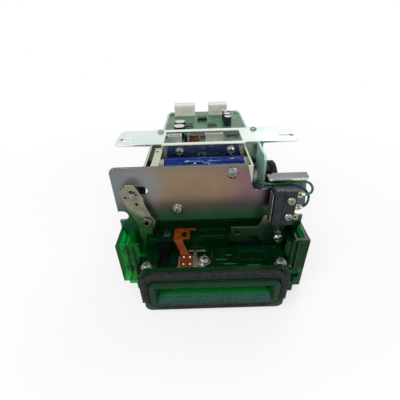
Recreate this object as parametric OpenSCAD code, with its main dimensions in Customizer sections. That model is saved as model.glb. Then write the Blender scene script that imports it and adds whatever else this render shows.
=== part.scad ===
// Motorised card reader module with a green entry bezel, a shutter and a belt transport.
// Millimetres. X runs across the slot, Y runs back from the front plate, Z runs up.
// The origin is under the slot's middle, on the front plate's front face, at the underside.

/* [Card path] */
// Width of the card that the throat takes
card_w = 54; // [52:1:56]
// Height of the card's middle plane above the underside
path_z = 16.5; // [16.5:0.5:18]
// Height of the throat behind the mouth
throat_h = 5; // [4.8:0.1:5.4]
// Gap between the lower and the upper card guide
path_gap = 1.6; // [1.4:0.1:2]

/* [Front plate] */
// Width of the front plate over the wings
plate_w = 100; // [99:1:104]
// Height of the tall left part of the front plate
plate_top = 72.4; // [72:0.2:75]
// Thickness of the folded sheet
sheet_t = 1.2; // [1:0.1:1.4]
// Length of the folded roof over the switch
roof_len = 5; // [4:0.5:7]

/* [Bezel] */
// Width of the lip round the mouth
lip_w = 64.4; // [63.6:0.2:66]
// Height of the lip round the mouth
lip_h = 16.6; // [16:0.2:18]
// How far the lip stands out of its flange
lip_out = 3.5; // [3:0.5:5]
// Width of the bezel flange
flange_w = 73.2; // [72.4:0.4:77.2]
// Height of the bezel flange
flange_h = 29.2; // [28.4:0.4:30.4]
// Thickness of the foam gasket
gasket_t = 2.4; // [1.6:0.2:2.8]
// Wall thickness of the green mouldings
wall = 2; // [1.8:0.1:2.2]
// Depth of the wings in front of the plate
wing_d = 15.3; // [15:0.3:17]

/* [Shutter drive] */
// Thickness of the shutter lever
lever_t = 1.2; // [1:0.1:1.4]
// Radius of the link pin
pin_r = 1.4; // [1.2:0.1:1.5]
// Radius of the solenoid over its blue sleeve
sleeve_r = 9; // [8:0.2:9.2]
// Radius of the solenoid plunger
plunger_r = 3.4; // [3:0.1:3.6]

/* [Switch] */
// Length of the switch body
switch_l = 19.8; // [19:0.1:20.5]
// Width of the switch body
switch_w = 10.2; // [9.8:0.1:10.6]
// Thickness of the switch body
switch_t = 6.4; // [6:0.1:6.8]
// Distance between the two switch screws
switch_pitch = 9.5; // [9:0.1:10]

/* [Transport] */
// Distance between two roller stations
station_pitch = 44; // [42:1:46]
// Radius of the drive rollers
roller_r = 6.5; // [6:0.1:6.6]
// Radius of the pinch rollers
pinch_r = 5; // [4.6:0.1:5.4]
// Radius of the drive shafts
shaft_r = 2; // [1.8:0.1:2.2]
// Length of the chassis behind the front plate
chassis_len = 138; // [136:1:146]
// Radius of the motor can
motor_r = 10.5; // [9.7:0.2:10.7]
// Radius of the thumb wheel on the motor shaft
knob_r = 12; // [11:0.5:13]

/* [Clearances] */
// Radial running clearance of shafts and pivots
run_gap = 0.05; // [0.03:0.01:0.08]
// Clearance between parts that move past each other
move_gap = 0.4; // [0.3:0.05:0.5]
// Clearance round a screw in its hole
screw_gap = 0.1; // [0.05:0.05:0.2]

/* [Hidden] */
$fn = 48;
eps = 0.01;
// Card path levels
throat_half = card_w / 2 + 1.1;
duct_half = throat_half + wall;
floor_z = path_z - throat_h / 2;
ceil_z = path_z + throat_h / 2;
duct_bot = floor_z - wall;
duct_top = ceil_z + wall;
low_face = path_z - path_gap / 2;
high_face = path_z + path_gap / 2;
// Bezel levels
lip_z = path_z + 1.3;
flange_z = path_z - 0.9;
flange_t = 3;
flange_y = -wing_d - 10.2;
lip_y = flange_y - flange_t - lip_out;
gasket_y = flange_y - flange_t - gasket_t;
neck_half = flange_w / 2 + 1.9;
neck_bot = path_z - 12;
step_half = 43.2;
floor_bot = path_z - 13.7;
deck_bot = path_z + 9.5;
deck_t = 2;
deck_top = deck_bot + deck_t;
shelf_bot = deck_bot + 7;
shelf_top = shelf_bot + 2;
shelf_front = -10.8;
shelf_web = -9.2;
shelf_end = [-35, -5.4];
shelf_wall = [-1.6, -0.4];
shelf_wall_top = shelf_top + 5;
wing_half = plate_w / 2;
wing_top = path_z + 19.5;
wing_bot_left = path_z - 6.8;
wing_bot_right = path_z - 14.8;
wing_hole_r = 1.9;
wing_hole = [wing_half - wall - wing_hole_r - 0.1, path_z - 6];
boss_x = wing_half - 5.5;
boss_z = [path_z + 2, path_z + 14.5];
boss_r = 3.2;
wing_rib = [wing_half - 5.8, wing_half - 8.8];
// Fastener sizes
m3_r = 1.5;
m3_hole = m3_r + screw_gap;
m2_r = 1.1;
m2_hole = m2_r + screw_gap;
washer_t = 0.5;
// Lever and shutter
pivot = [-34.4, path_z + 25.9];
pin_at = [pivot[0] - 5, pivot[1] + 16.8];
lever_y = -3 - lever_t;
stud_r = 2;
arm_pin = [pivot[0] + 19.4, pivot[1] - 15.4];
arm_pin_r = 1.2;
shutter_t = 1;
shutter_y = -2.3;
shutter_half = duct_half + 0.7;
shutter_top = ceil_z - 0.2;
shutter_bot = floor_z - 1.8;
leg_top = arm_pin[1] + 3.4;
stroke = 4.6;
// Feeler and switch
feeler_t = 1.2;
feeler_y = -6.6;
feeler_at = [35.8, path_z + 14.4];
switch_x = 29.9;
switch_z = path_z + 27.4;
switch_back = -5.4;
switch_front = switch_back - switch_t;
hole_x = switch_x + 7.3;
hole_z = switch_z + (switch_l - switch_pitch) / 2;
leaf_x = switch_x - 0.9;
leaf_t = 0.4;
roof_z = switch_z + switch_l + 1.8;
// Chassis
chassis_half = duct_half + 2.4;
outer_half = chassis_half + sheet_t;
plate_back = sheet_t;
tall_top = pin_at[1] + 11.8;
tall_len = 58;
shelf_level = pin_at[1] - 1.6;
board_z = shelf_level + sheet_t;
board_t = 1.6;
bracket_x = [-27, 21];
cross_y = 27;
solenoid_y = cross_y - sleeve_r - 0.3;
ear_left = -55;
ear_right = 53;
ear_front = 30;
ear_back = 54;
ear_slot_y = 38.5;
ear_slot_r = 2.25;
ear_slot_run = 2.15;
ear_slot_in = 5.8;
// Transport
stations = [20, 20 + station_pitch, 20 + 2 * station_pitch];
shaft_z = path_z - 0.25 - roller_r;
pinch_z = path_z + 0.15 + pinch_r;
axle_r = 1.5;
roller_x = 14;
roller_w = 10;
bush_r = 4;
bush_flange = 1;
pulley_gap = 0.5;
pulley_w = 4.2;
belt_w = 2.4;
belt_t = 0.9;
belt_gap = 0.3;
pulley_r = 6;
big_pulley_r = 8;
motor_pulley_r = 4;
rim = 1.6;
pulley_x = outer_half + pulley_gap;
motor_at = [37.5, board_z - motor_r - 5.3];
motor_shaft_r = 1.5;
motor_len = 32;
knob_w = 4.2;
guide_rear = chassis_len - 3.2;
guide_bot = shaft_z + shaft_r + 0.5;
guide_top = high_face + 4;
tongue = 30;
head_x = -13.5;
head_half = 4.5;
prehead_y = -19.8;
main_head_y = (stations[1] + stations[2]) / 2;
belt_dir = [stations[1] - motor_at[0], shaft_z - motor_at[1]];
belt_len = norm(belt_dir);
motor_screw = [-belt_dir[1], belt_dir[0]] / belt_len * (motor_r - 2.6);

// Helpers

// A box given by its low and high corners
module span(a, b) {
  translate(a) cube(b - a);
}

// A flat outline in X and Z made into a sheet that starts at y0 and runs back by t
module xz_sheet(y0, t) {
  translate([0, y0 + t, 0]) rotate([90, 0, 0]) linear_extrude(t) children();
}

// A flat outline in Y and Z made into a sheet that starts at x0 and runs right by t
module yz_sheet(x0, t) {
  translate([x0, 0, 0]) rotate([90, 0, 90]) linear_extrude(t) children();
}

module rod_y(x, y0, y1, z, r) {
  translate([x, y0, z]) rotate([-90, 0, 0]) cylinder(h = y1 - y0, r = r);
}

module rod_x(x0, x1, y, z, r) {
  translate([x0, y, z]) rotate([0, 90, 0]) cylinder(h = x1 - x0, r = r);
}

module rod_z(x, y, z0, z1, r) {
  translate([x, y, z0]) cylinder(h = z1 - z0, r = r);
}

// A centred rectangle with round corners
module round_rect(w, h, r) {
  square([w - 2 * r, h], center = true);
  square([w, h - 2 * r], center = true);
  for (sx = [-1, 1])
    for (sz = [-1, 1])
      translate([sx * (w / 2 - r), sz * (h / 2 - r)]) circle(r);
}

// A slot with round ends between two points on one level
module slot2d(x0, x1, z, r) {
  translate([x0, z - r]) square([x1 - x0, 2 * r]);
  translate([x0, z]) circle(r);
  translate([x1, z]) circle(r);
}

// A pan head screw with a cross recess, seated at z = 0 with its head upward
module pan_screw(hr, hh, sr, len) {
  difference() {
    rotate_extrude() polygon([[0, -len], [sr, -len], [sr, 0], [hr, 0], [hr, hh * 0.45],
      [hr * 0.85, hh * 0.8], [hr * 0.5, hh], [0, hh]]);
    translate([-hr * 0.55, -0.35, hh * 0.5]) cube([hr * 1.1, 0.7, hh]);
    translate([-0.35, -hr * 0.55, hh * 0.5]) cube([0.7, hr * 1.1, hh]);
  }
}

module washer(ro, ri, t) {
  difference() {
    cylinder(h = t, r = ro);
    translate([0, 0, -1]) cylinder(h = t + 2, r = ri);
  }
}

// A pan head screw standing on its own washer
module washer_screw(hr, hh, sr, len, wr) {
  washer(wr, sr + screw_gap, washer_t);
  translate([0, 0, washer_t]) pan_screw(hr, hh, sr, len + washer_t);
}

// A flanged belt pulley that starts at x0, with its bore
module pulley(x0, y, z, r, bore) {
  difference() {
    union() {
      rod_x(x0, x0 + pulley_w, y, z, r);
      rod_x(x0, x0 + 0.6, y, z, r + rim);
      rod_x(x0 + pulley_w - 0.6, x0 + pulley_w, y, z, r + rim);
    }
    rod_x(x0 - 1, x0 + pulley_w + 1, y, z, bore);
  }
}

// Points of a smooth curve through the given points, with n steps to each
function curve_point(p, i, t) =
  let (a = p[max(i - 1, 0)], b = p[i], c = p[i + 1], d = p[min(i + 2, len(p) - 1)])
  0.5 * (2 * b + (c - a) * t + (2 * a - 5 * b + 4 * c - d) * t * t
    + (3 * b - a - 3 * c + d) * t * t * t);
function curve(p, n) = concat(
  [for (i = [0:len(p) - 2]) for (k = [0:n - 1]) curve_point(p, i, k / n)], [p[len(p) - 1]]);
function unit(v) = v / norm(v);
function tangent(p, i) = unit(p[min(i + 1, len(p) - 1)] - p[max(i - 1, 0)]);
function across(u, t) = unit(u - t * (t * u));
function sides_from(p, i, u) = i == len(p) ? []
  : let (v = across(u, tangent(p, i))) concat([v], sides_from(p, i + 1, v));

// A round tube of radius r with n sides along the points p
module tube(p, r, n, u0) {
  us = sides_from(p, 0, u0);
  m = len(p);
  pts = [for (i = [0:m - 1]) let (t = tangent(p, i), w = cross(t, us[i]))
    for (k = [0:n - 1]) p[i] + r * (cos(360 * k / n) * us[i] + sin(360 * k / n) * w)];
  faces = concat(
    [for (i = [0:m - 2]) for (k = [0:n - 1])
      [i * n + k, (i + 1) * n + k, (i + 1) * n + (k + 1) % n, i * n + (k + 1) % n]],
    [[for (k = [0:n - 1]) k]],
    [[for (k = [n - 1:-1:0]) (m - 1) * n + k]]);
  polyhedron(pts, faces, 4);
}

// Front plate and chassis sheets

module plate_outline() {
  polygon([[-wing_half, 4], [wing_half, 4], [wing_half, roof_z - 18], [47.6, roof_z],
    [47.6, roof_z + sheet_t], [30.2, roof_z + sheet_t], [30.2, roof_z - 6], [28.8, roof_z - 7.5],
    [22.6, roof_z - 7.5], [21, roof_z - 5.5], [18, plate_top], [-wing_half + 3, plate_top],
    [-wing_half, plate_top - 3]]);
  translate([-wing_half + 3, plate_top - 3]) circle(3);
}

module front_plate() {
  color("#b8a88c") difference() {
    union() {
      xz_sheet(0, sheet_t) plate_outline();
      translate([0, 0, roof_z]) linear_extrude(sheet_t) {
        translate([27.4, -roof_len + 2]) square([19.8, roof_len - 2]);
        translate([30.2, -eps]) square([17, sheet_t + eps]);
        translate([29.4, -roof_len]) square([15.8, 2 + eps]);
        translate([29.4, -roof_len + 2]) circle(2);
        translate([45.2, -roof_len + 2]) circle(2);
      }
    }
    span([-duct_half - 1.4, -1, duct_bot - 0.7], [duct_half + 1.4, sheet_t + 1, guide_top + 1.2]);
    rod_y(10.6, -1, sheet_t + 1, plate_top - 4.3, m3_hole);
    rod_y(-17.8, -1, sheet_t + 1, pin_at[1] - 11.6, m3_hole);
    rod_y(pivot[0], -1, sheet_t + 1, pivot[1], stud_r);
    xz_sheet(-1, sheet_t + 2) slot2d(pin_at[0] - 0.6, pin_at[0] + stroke, pin_at[1] + 0.2, 2.4);
    for (s = [-1, 1]) {
      rod_y(s * (wing_half - 2.2), -1, sheet_t + 1, pivot[1] + 1.4, 3);
      span([s > 0 ? wing_half - 2.2 : -wing_half - 1, -1, pivot[1] - 1.6],
        [s > 0 ? wing_half + 1 : -wing_half + 2.2, sheet_t + 1, pivot[1] + 4.4]);
      for (z = boss_z) rod_y(s * boss_x, -1, sheet_t + 1, z, m3_hole);
    }
    for (k = [0, 1]) rod_y(hole_x, -1, sheet_t + 1, hole_z + k * switch_pitch, m2_hole);
    rod_y(feeler_at[0], -1, sheet_t + 1, feeler_at[1], m3_r);
  }
}

// Side outline: tall in front, lower behind, in Y and Z
module side_outline() {
  polygon([[plate_back, 0], [chassis_len, 0], [chassis_len, shelf_level + sheet_t],
    [tall_len + 10, shelf_level + sheet_t], [tall_len, tall_top - 6], [tall_len, tall_top],
    [plate_back + 2, tall_top], [plate_back, tall_top - 2]]);
}

// Screw places on a side plate: base tabs and the two guides
tab_y = [9, stations[2] + (chassis_len - stations[2]) * 2 / 3];
tab_z = 5.5;
guide_screw_y = [(stations[0] + stations[1]) / 2, (stations[1] + stations[2]) / 2];
guide_screw_z = [(guide_bot + low_face) / 2, guide_top - 1.9];

module side_holes(x0, x1) {
  for (y = stations) rod_x(x0, x1, y, shaft_z, bush_r);
  for (y = tab_y) rod_x(x0, x1, y, tab_z, m2_hole);
  for (y = guide_screw_y) for (z = guide_screw_z) rod_x(x0, x1, y, z, m2_hole);
}

// Inward folds of one side plate: board shelf and top lip
module side_folds(s) {
  a = chassis_half - 6;
  b = chassis_half + eps;
  for (f = [[tall_len + 10, chassis_len - 2, shelf_level], [ear_front + 1, tall_len, tall_top - sheet_t]])
    translate([0, 0, f[2]]) linear_extrude(sheet_t)
      translate([s > 0 ? a : -b, f[0]]) square([b - a, f[1] - f[0]]);
}

board_screw_y = [tall_len + 16, chassis_len - 8];
lip_screw_y = ear_back - 4;

module fold_holes(s) {
  x = s * (chassis_half - 3);
  for (y = board_screw_y) rod_z(x, y, shelf_level - 1, shelf_level + sheet_t + 1, m2_hole);
  rod_z(x, lip_screw_y, tall_top - sheet_t - 1, tall_top + 1, m2_hole);
}

module left_side_plate() {
  color("#c9c4b4") difference() {
    union() {
      yz_sheet(-outer_half, sheet_t) side_outline();
      side_folds(-1);
      span([-chassis_half - eps, plate_back, 27], [-28.5, plate_back + sheet_t, 50]);
    }
    side_holes(-outer_half - 1, -chassis_half + 1);
    fold_holes(-1);
    span([-outer_half - 1, -1, pin_at[1] - 6], [-chassis_half + 1, solenoid_y + 7, pin_at[1] + 6]);
  }
}

// Right side: the wall stops at a step in front, and an upright panel stands inward of it on that step
panel_x = chassis_half - 3.8;
panel_y = 11;
step_y = motor_at[0] - motor_r - 2;
step_z = motor_at[1] + 1.6;
over_motor = motor_at[1] + motor_r + 2.4;

module right_outline() {
  difference() {
    side_outline();
    translate([-5, step_z]) square([step_y + 5, tall_top]);
    translate([-5, over_motor]) square([motor_at[0] + 4.5, tall_top]);
  }
}

module panel_outline() {
  back = ear_front + 1 + eps;
  polygon([[panel_y, step_z - sheet_t], [step_y, step_z - sheet_t], [step_y, over_motor], [back, over_motor],
    [back, tall_top], [panel_y + 2, tall_top], [panel_y, tall_top - 2]]);
}

module right_side_plate() {
  color("#bcd0cf") difference() {
    union() {
      yz_sheet(chassis_half, sheet_t) right_outline();
      side_folds(1);
      span([bracket_x[1] + 0.6, plate_back, 27], [chassis_half + eps, plate_back + sheet_t, step_z - 4]);
      yz_sheet(panel_x, sheet_t) panel_outline();
      span([panel_x, panel_y, step_z - sheet_t], [chassis_half + eps, step_y, step_z]);
    }
    side_holes(chassis_half - 1, outer_half + 1);
    fold_holes(1);
    rod_x(chassis_half - 1, outer_half + 1, motor_at[0], motor_at[1], 4);
    for (k = [-1, 1])
      rod_x(chassis_half - 1, outer_half + 1, motor_at[0] + k * motor_screw[0],
        motor_at[1] + k * motor_screw[1], m2_hole);
  }
}

module base_plate() {
  color("#c9c4b4") difference() {
    union() {
      span([-chassis_half, -12, 0], [chassis_half, chassis_len, sheet_t]);
      for (s = [-1, 1]) for (y = tab_y)
        span([s > 0 ? chassis_half - sheet_t : -chassis_half, y - 5, sheet_t - eps],
          [s > 0 ? chassis_half : -chassis_half + sheet_t, y + 5, tab_z + 3.4]);
    }
    for (s = [-1, 1]) for (y = tab_y)
      rod_x(s * chassis_half - 3, s * chassis_half + 3, y, tab_z, m2_hole);
  }
}

module rear_plate() {
  color("#c9c4b4") difference() {
    span([-outer_half, chassis_len, 0], [outer_half, chassis_len + sheet_t, shelf_level]);
    span([-duct_half, chassis_len - 1, path_z - 4.5], [duct_half, chassis_len + 5, path_z + 4.5]);
    for (s = [-1, 1]) rod_y(s * 24, chassis_len - 1, chassis_len + 5, 40, 3);
  }
}

// Wall screws of the cross wall, given in X and Z
wall_screws = [[-16.7, tall_top - 2.8], [12.7, tall_top - 2.8]];

module top_bracket() {
  color("#c9c4b4") difference() {
    union() {
      translate([0, 0, tall_top]) linear_extrude(sheet_t) difference() {
        union() {
          translate([(ear_left + ear_right) / 2, (ear_front + ear_back) / 2])
            round_rect(ear_right - ear_left, ear_back - ear_front, 4);
          translate([bracket_x[0], cross_y + 1]) square([bracket_x[1] - bracket_x[0], 8]);
        }
        translate([bracket_x[0] + 1, ear_front + 1.4])
          square([bracket_x[1] - bracket_x[0] - 2, ear_back - ear_front - 1.4 - 4]);
        for (x = [ear_left + ear_slot_in, ear_right - ear_slot_in])
          slot2d(x - ear_slot_run, x + ear_slot_run, ear_slot_y, ear_slot_r);
        for (s = [-1, 1]) translate([s * (chassis_half - 3), lip_screw_y]) circle(m2_hole);
      }
      span([bracket_x[0], cross_y + 1, tall_top - 8], [bracket_x[1], cross_y + 1 + sheet_t, tall_top + eps]);
    }
    for (p = wall_screws) rod_y(p[0], cross_y, cross_y + 4, p[1], m3_hole);
  }
}

// Solenoid group

bracket_t = 1;
nose_len = 1.5;

module solenoid_bracket() {
  x0 = bracket_x[0];
  x1 = bracket_x[1];
  fl = pin_at[1] - sleeve_r - 1.4;
  color("#c4c0ae") difference() {
    union() {
      span([x0, plate_back, fl], [x1, cross_y + bracket_t, fl + bracket_t]);
      span([x0, plate_back, fl], [x1, plate_back + bracket_t, plate_top - 1.4]);
      span([x0, cross_y, fl], [x1, cross_y + bracket_t, tall_top + sheet_t + 0.2]);
      span([x0, plate_back, fl], [x0 + bracket_t, cross_y + bracket_t, tall_top]);
      span([x1 - bracket_t, plate_back, fl], [x1, cross_y + bracket_t, tall_top]);
      span([x0 - 3, plate_back + 1, tall_top - bracket_t], [x0 + eps, cross_y, tall_top]);
      span([-23, plate_back, pin_at[1] - 16.5], [-12.6, plate_back + bracket_t, fl + eps]);
    }
    rod_y(10.6, 0, plate_back + 3, plate_top - 4.3, m3_hole);
    rod_y(-17.8, 0, plate_back + 3, pin_at[1] - 11.6, m3_hole);
    for (p = wall_screws) rod_y(p[0], cross_y - 1, cross_y + 3, p[1], m3_hole);
    rod_x(x0 - 1, x0 + 2, solenoid_y, pin_at[1], 5.5);
    rod_z(x0 - 1.6, cross_y - 5, tall_top - 2, tall_top + 1, 0.9);
  }
}

module solenoid_body() {
  color("#8d8f8e") difference() {
    union() {
      rod_x(bracket_x[0] + bracket_t + 0.2, bracket_x[1] - bracket_t - 0.2, solenoid_y, pin_at[1],
        sleeve_r - 1.4);
      rod_x(bracket_x[0] + bracket_t, bracket_x[0] + bracket_t + 1.2, solenoid_y, pin_at[1], sleeve_r - 0.2);
      rod_x(bracket_x[1] - bracket_t - 1.2, bracket_x[1] - bracket_t, solenoid_y, pin_at[1], sleeve_r - 0.2);
      rod_x(bracket_x[0] - nose_len, bracket_x[0] + 2, solenoid_y, pin_at[1], 5.5);
    }
    rod_x(bracket_x[0] - 3, 10, solenoid_y, pin_at[1], plunger_r + run_gap);
  }
}

module solenoid_sleeve() {
  color("#14227a") difference() {
    rod_x(bracket_x[0] + bracket_t + 1.25, bracket_x[1] - bracket_t - 1.25, solenoid_y, pin_at[1], sleeve_r);
    rod_x(bracket_x[0], bracket_x[1], solenoid_y, pin_at[1], sleeve_r - 1.38);
  }
}

collar_x = pin_at[0] + pin_r + 0.6;
collar_t = 0.8;

module solenoid_plunger() {
  color("#a7a9ab") difference() {
    union() {
      rod_x(pin_at[0] - 3, 2, solenoid_y, pin_at[1], plunger_r);
      rod_x(collar_x, collar_x + collar_t, solenoid_y, pin_at[1], plunger_r + 1.4);
    }
    rod_y(pin_at[0], solenoid_y - 9, solenoid_y + 9, pin_at[1], pin_r + 0.02);
  }
}

module link_pin() {
  color("#b9bbbd") {
    rod_y(pin_at[0], lever_y - 0.1, solenoid_y + plunger_r + 0.4, pin_at[1], pin_r);
    rod_y(pin_at[0], lever_y - 0.9, lever_y - 0.1 + eps, pin_at[1], pin_r - 0.4);
    rod_y(pin_at[0], lever_y - 1.4, lever_y - 0.9 + eps, pin_at[1], pin_r);
  }
}

// Clip in front of the lever and slide washer behind the plate, both on the link pin
module pin_clip() {
  color("#3a3a3c") difference() {
    rod_y(pin_at[0], plate_back + 0.2, plate_back + 0.9, pin_at[1], 5.8);
    rod_y(pin_at[0], plate_back - 1, plate_back + 2, pin_at[1], pin_r + 0.02);
  }
  color("#8f8a84") difference() {
    rod_y(pin_at[0], lever_y - 0.8, lever_y - 0.2, pin_at[1], 2.5);
    rod_y(pin_at[0], lever_y - 2, lever_y, pin_at[1], pin_r - 0.35);
    span([pin_at[0] - 0.7, lever_y - 2, pin_at[1] + 0.2], [pin_at[0] + 3, lever_y, pin_at[1] + 3]);
    rod_y(pin_at[0] - 1.5, lever_y - 2, lever_y, pin_at[1] - 0.8, 0.45);
  }
}

// Return spring on the plunger
spring_wire = 0.3;
spring_x0 = collar_x + collar_t + spring_wire + 0.05;
spring_x1 = bracket_x[0] - nose_len - spring_wire - 0.05;
spring_r = plunger_r + 0.9;
curls = 4;
spring_pts = [for (i = [0:8 * curls]) [spring_x0 + (spring_x1 - spring_x0) * i / (8 * curls),
  solenoid_y + spring_r * cos(45 * i), pin_at[1] + spring_r * sin(45 * i)]];
// Least distance between points of the wire that lie half a curl or more apart along it
spring_gap = min([for (i = [0:8 * curls - 4]) for (j = [i + 4:8 * curls])
  norm(spring_pts[j] - spring_pts[i])]) - 2 * spring_wire;
echo("least gap between spring curls", spring_gap);

module plunger_spring() {
  color("#c0c2c4") tube(spring_pts, spring_wire, 6, [1, 0, 0]);
}

// Shutter lever, its stud and the shutter

module lever_outline() {
  polygon([for (p = [[-11.2, 18.8], [-7.4, 22.7], [-3.6, 22.9], [0.1, 14.6], [0.1, 11.5],
    [2.5, 4.1], [4.6, 0.3], [4.3, -1.8], [3, -3.8], [2.1, -4.8], [2, -12.2], [18, -12.2], [22, -13.2],
    [22, -17.4], [14, -18.2], [-2, -16.8], [-4.6, -10], [-4.8, -2], [-8.5, 7.4]]) pivot + p]);
}

module shutter_lever() {
  color("#8b7f74") union() {
    difference() {
      xz_sheet(lever_y, lever_t) lever_outline();
      rod_y(pivot[0], -9, 0, pivot[1], stud_r + run_gap);
      for (k = [-1, 0, 1])
        rod_y(pin_at[0] + k * 0.3, -9, 0, pin_at[1] - k * 1.0, pin_r + move_gap);
      rod_y(pin_at[0] - 3.6, -9, 0, pin_at[1] - 1, 0.9);
      rod_y(pin_at[0] + 1.3, -9, 0, pin_at[1] - 5.4, 0.9);
    }
    rod_y(arm_pin[0], lever_y + lever_t - eps, shutter_y + shutter_t + 0.2, arm_pin[1], arm_pin_r);
  }
}

module lever_stud() {
  color("#6f6a66") difference() {
    union() {
      rod_y(pivot[0], lever_y - 0.2, sheet_t, pivot[1], stud_r);
      rod_y(pivot[0], lever_y + lever_t + 0.2, 0, pivot[1], 3.2);
      rod_y(pivot[0], lever_y - 1.2, lever_y - 0.2, pivot[1], 2.9);
    }
    rod_y(pivot[0], -9, lever_y, pivot[1], 1.1);
  }
}

module shutter() {
  color("#9a9c9e") xz_sheet(shutter_y, shutter_t) difference() {
    union() {
      translate([-shutter_half, shutter_bot]) square([2 * shutter_half, shutter_top - shutter_bot]);
      translate([-25, shutter_top - eps]) square([15, leg_top - shutter_top]);
    }
    slot2d(arm_pin[0] - 5, arm_pin[0] + 0.3, arm_pin[1], arm_pin_r + move_gap);
  }
}

// Green mouldings

module rounded_slab(w, h, r, z, y0, t) {
  xz_sheet(y0, t) translate([0, z]) round_rect(w, h, r);
}

head_win = [[head_x - head_half - 0.6, prehead_y - 4.8], [head_x + head_half + 0.6, prehead_y + 4.8]];
deck_screw_at = [neck_half - 4.9, flange_y + 3];
// Opening in the deck over the left entry sensor
recess = [[4.7 - deck_screw_at[0], flange_y + 3.3], [-22, -12.4]];

module bezel_front() {
  mouth_w = lip_w - 5.4;
  color("#0a4a22") difference() {
    union() {
      rounded_slab(lip_w, lip_h, 3.5, lip_z, lip_y, lip_out + eps);
      rounded_slab(flange_w, flange_h, 3.5, flange_z, flange_y - flange_t, flange_t);
      span([-duct_half, flange_y - 1, duct_bot], [duct_half, -4.8, duct_top]);
      span([-duct_half, -5, duct_bot], [duct_half, -2.7, floor_z]);
      for (s = [-1, 1]) {
        span([s > 0 ? throat_half : -duct_half, -5, duct_bot],
          [s > 0 ? duct_half : -throat_half, -2.7, duct_top]);
        span([s > 0 ? neck_half - wall : -neck_half, flange_y - 1, neck_bot],
          [s > 0 ? neck_half : -neck_half + wall, -wing_d, deck_bot]);
        span([s > 0 ? duct_half - eps : -duct_half - 3.4, -4.7, duct_bot - 4],
          [s > 0 ? duct_half + 3.4 : -duct_half + eps, -0.4, duct_top + 1.2]);
        rod_z(s * deck_screw_at[0], deck_screw_at[1], neck_bot, deck_bot, 3);
      }
      span([-neck_half, flange_y - 1, neck_bot], [neck_half, -wing_d, neck_bot + wall]);
    }
    span([-throat_half, flange_y - 8, floor_z], [throat_half, 1, ceil_z]);
    hull() {
      span([-mouth_w / 2, lip_y - 0.1, floor_z - 3.4], [mouth_w / 2, lip_y, lip_z + lip_h / 2 - 3]);
      span([-throat_half, lip_y + 2.6, floor_z], [throat_half, lip_y + 2.7, ceil_z]);
    }
    span([head_win[0][0], head_win[0][1], path_z], [head_win[1][0], head_win[1][1], duct_top + 1]);
    span([throat_half - 3.6, feeler_y - 0.7, floor_z - 0.3],
      [duct_half + 5, feeler_y + feeler_t + 0.6, duct_top + 3]);
    for (s = [-1, 1]) {
      span([s > 0 ? duct_half - 0.1 : -duct_half - 1.1, shutter_y - 0.3, duct_bot - 5],
        [s > 0 ? duct_half + 1.1 : -duct_half + 0.1, shutter_y + shutter_t + 0.3, duct_top + 3]);
      rod_z(s * deck_screw_at[0], deck_screw_at[1], deck_bot - 9, deck_bot + 1, m3_hole);
    }
  }
}

// Outline of the wings in X and Z, set in by d, with the top left open
module wing_outline(d) {
  top = wing_top + (d > 0 ? 5 : 0);
  polygon([[-wing_half + d, top], [-wing_half + d, wing_bot_left + d], [-wing_half + 3 + d, wing_bot_left + d],
    [-wing_half + 3 + d, wing_bot_left - 2.3 + d], [-step_half + d, wing_bot_left - 2.3 + d],
    [-step_half + d, floor_bot + d], [step_half - d, floor_bot + d], [step_half - d, wing_bot_right + d],
    [wing_half - d, wing_bot_right + d], [wing_half - d, top]]);
}

module bezel_housing() {
  color("#0d7a36") difference() {
    union() {
      difference() {
        xz_sheet(-wing_d, wing_d) wing_outline(0);
        xz_sheet(-wing_d - 1, wing_d + 2) wing_outline(wall);
      }
      difference() {
        xz_sheet(-wing_d, wall) wing_outline(0);
        span([-neck_half + 3, -wing_d - 1, neck_bot + wall], [neck_half - 3, 0, wing_top + 5]);
        span([-neck_half, -wing_d - 1, deck_top + 0.4], [neck_half, 0, wing_top + 5]);
      }
      for (s = [-1, 1]) for (x = wing_rib)
        span([s * x - 0.35, -wing_d - 0.7, path_z - 2.5], [s * x + 0.35, -wing_d + eps, wing_top - 1]);
      span([step_half - 1.6, -wing_d - 4.6, wing_bot_right + 1],
        [step_half + 0.8, -wing_d + eps, wing_bot_right + 9]);
      for (s = [-1, 1]) for (z = boss_z) rod_y(s * boss_x, -wing_d + 1, 0, z, boss_r);
    }
    rod_y(wing_hole[0], -wing_d - 1, -wing_d + wall + 1, wing_hole[1], wing_hole_r);
    for (s = [-1, 1]) for (z = boss_z) rod_y(s * boss_x, -10, 1, z, m3_hole);
  }
}

tab_screw = [-4.6, prehead_y];
shelf_screw = [-24, -6.4];

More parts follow.
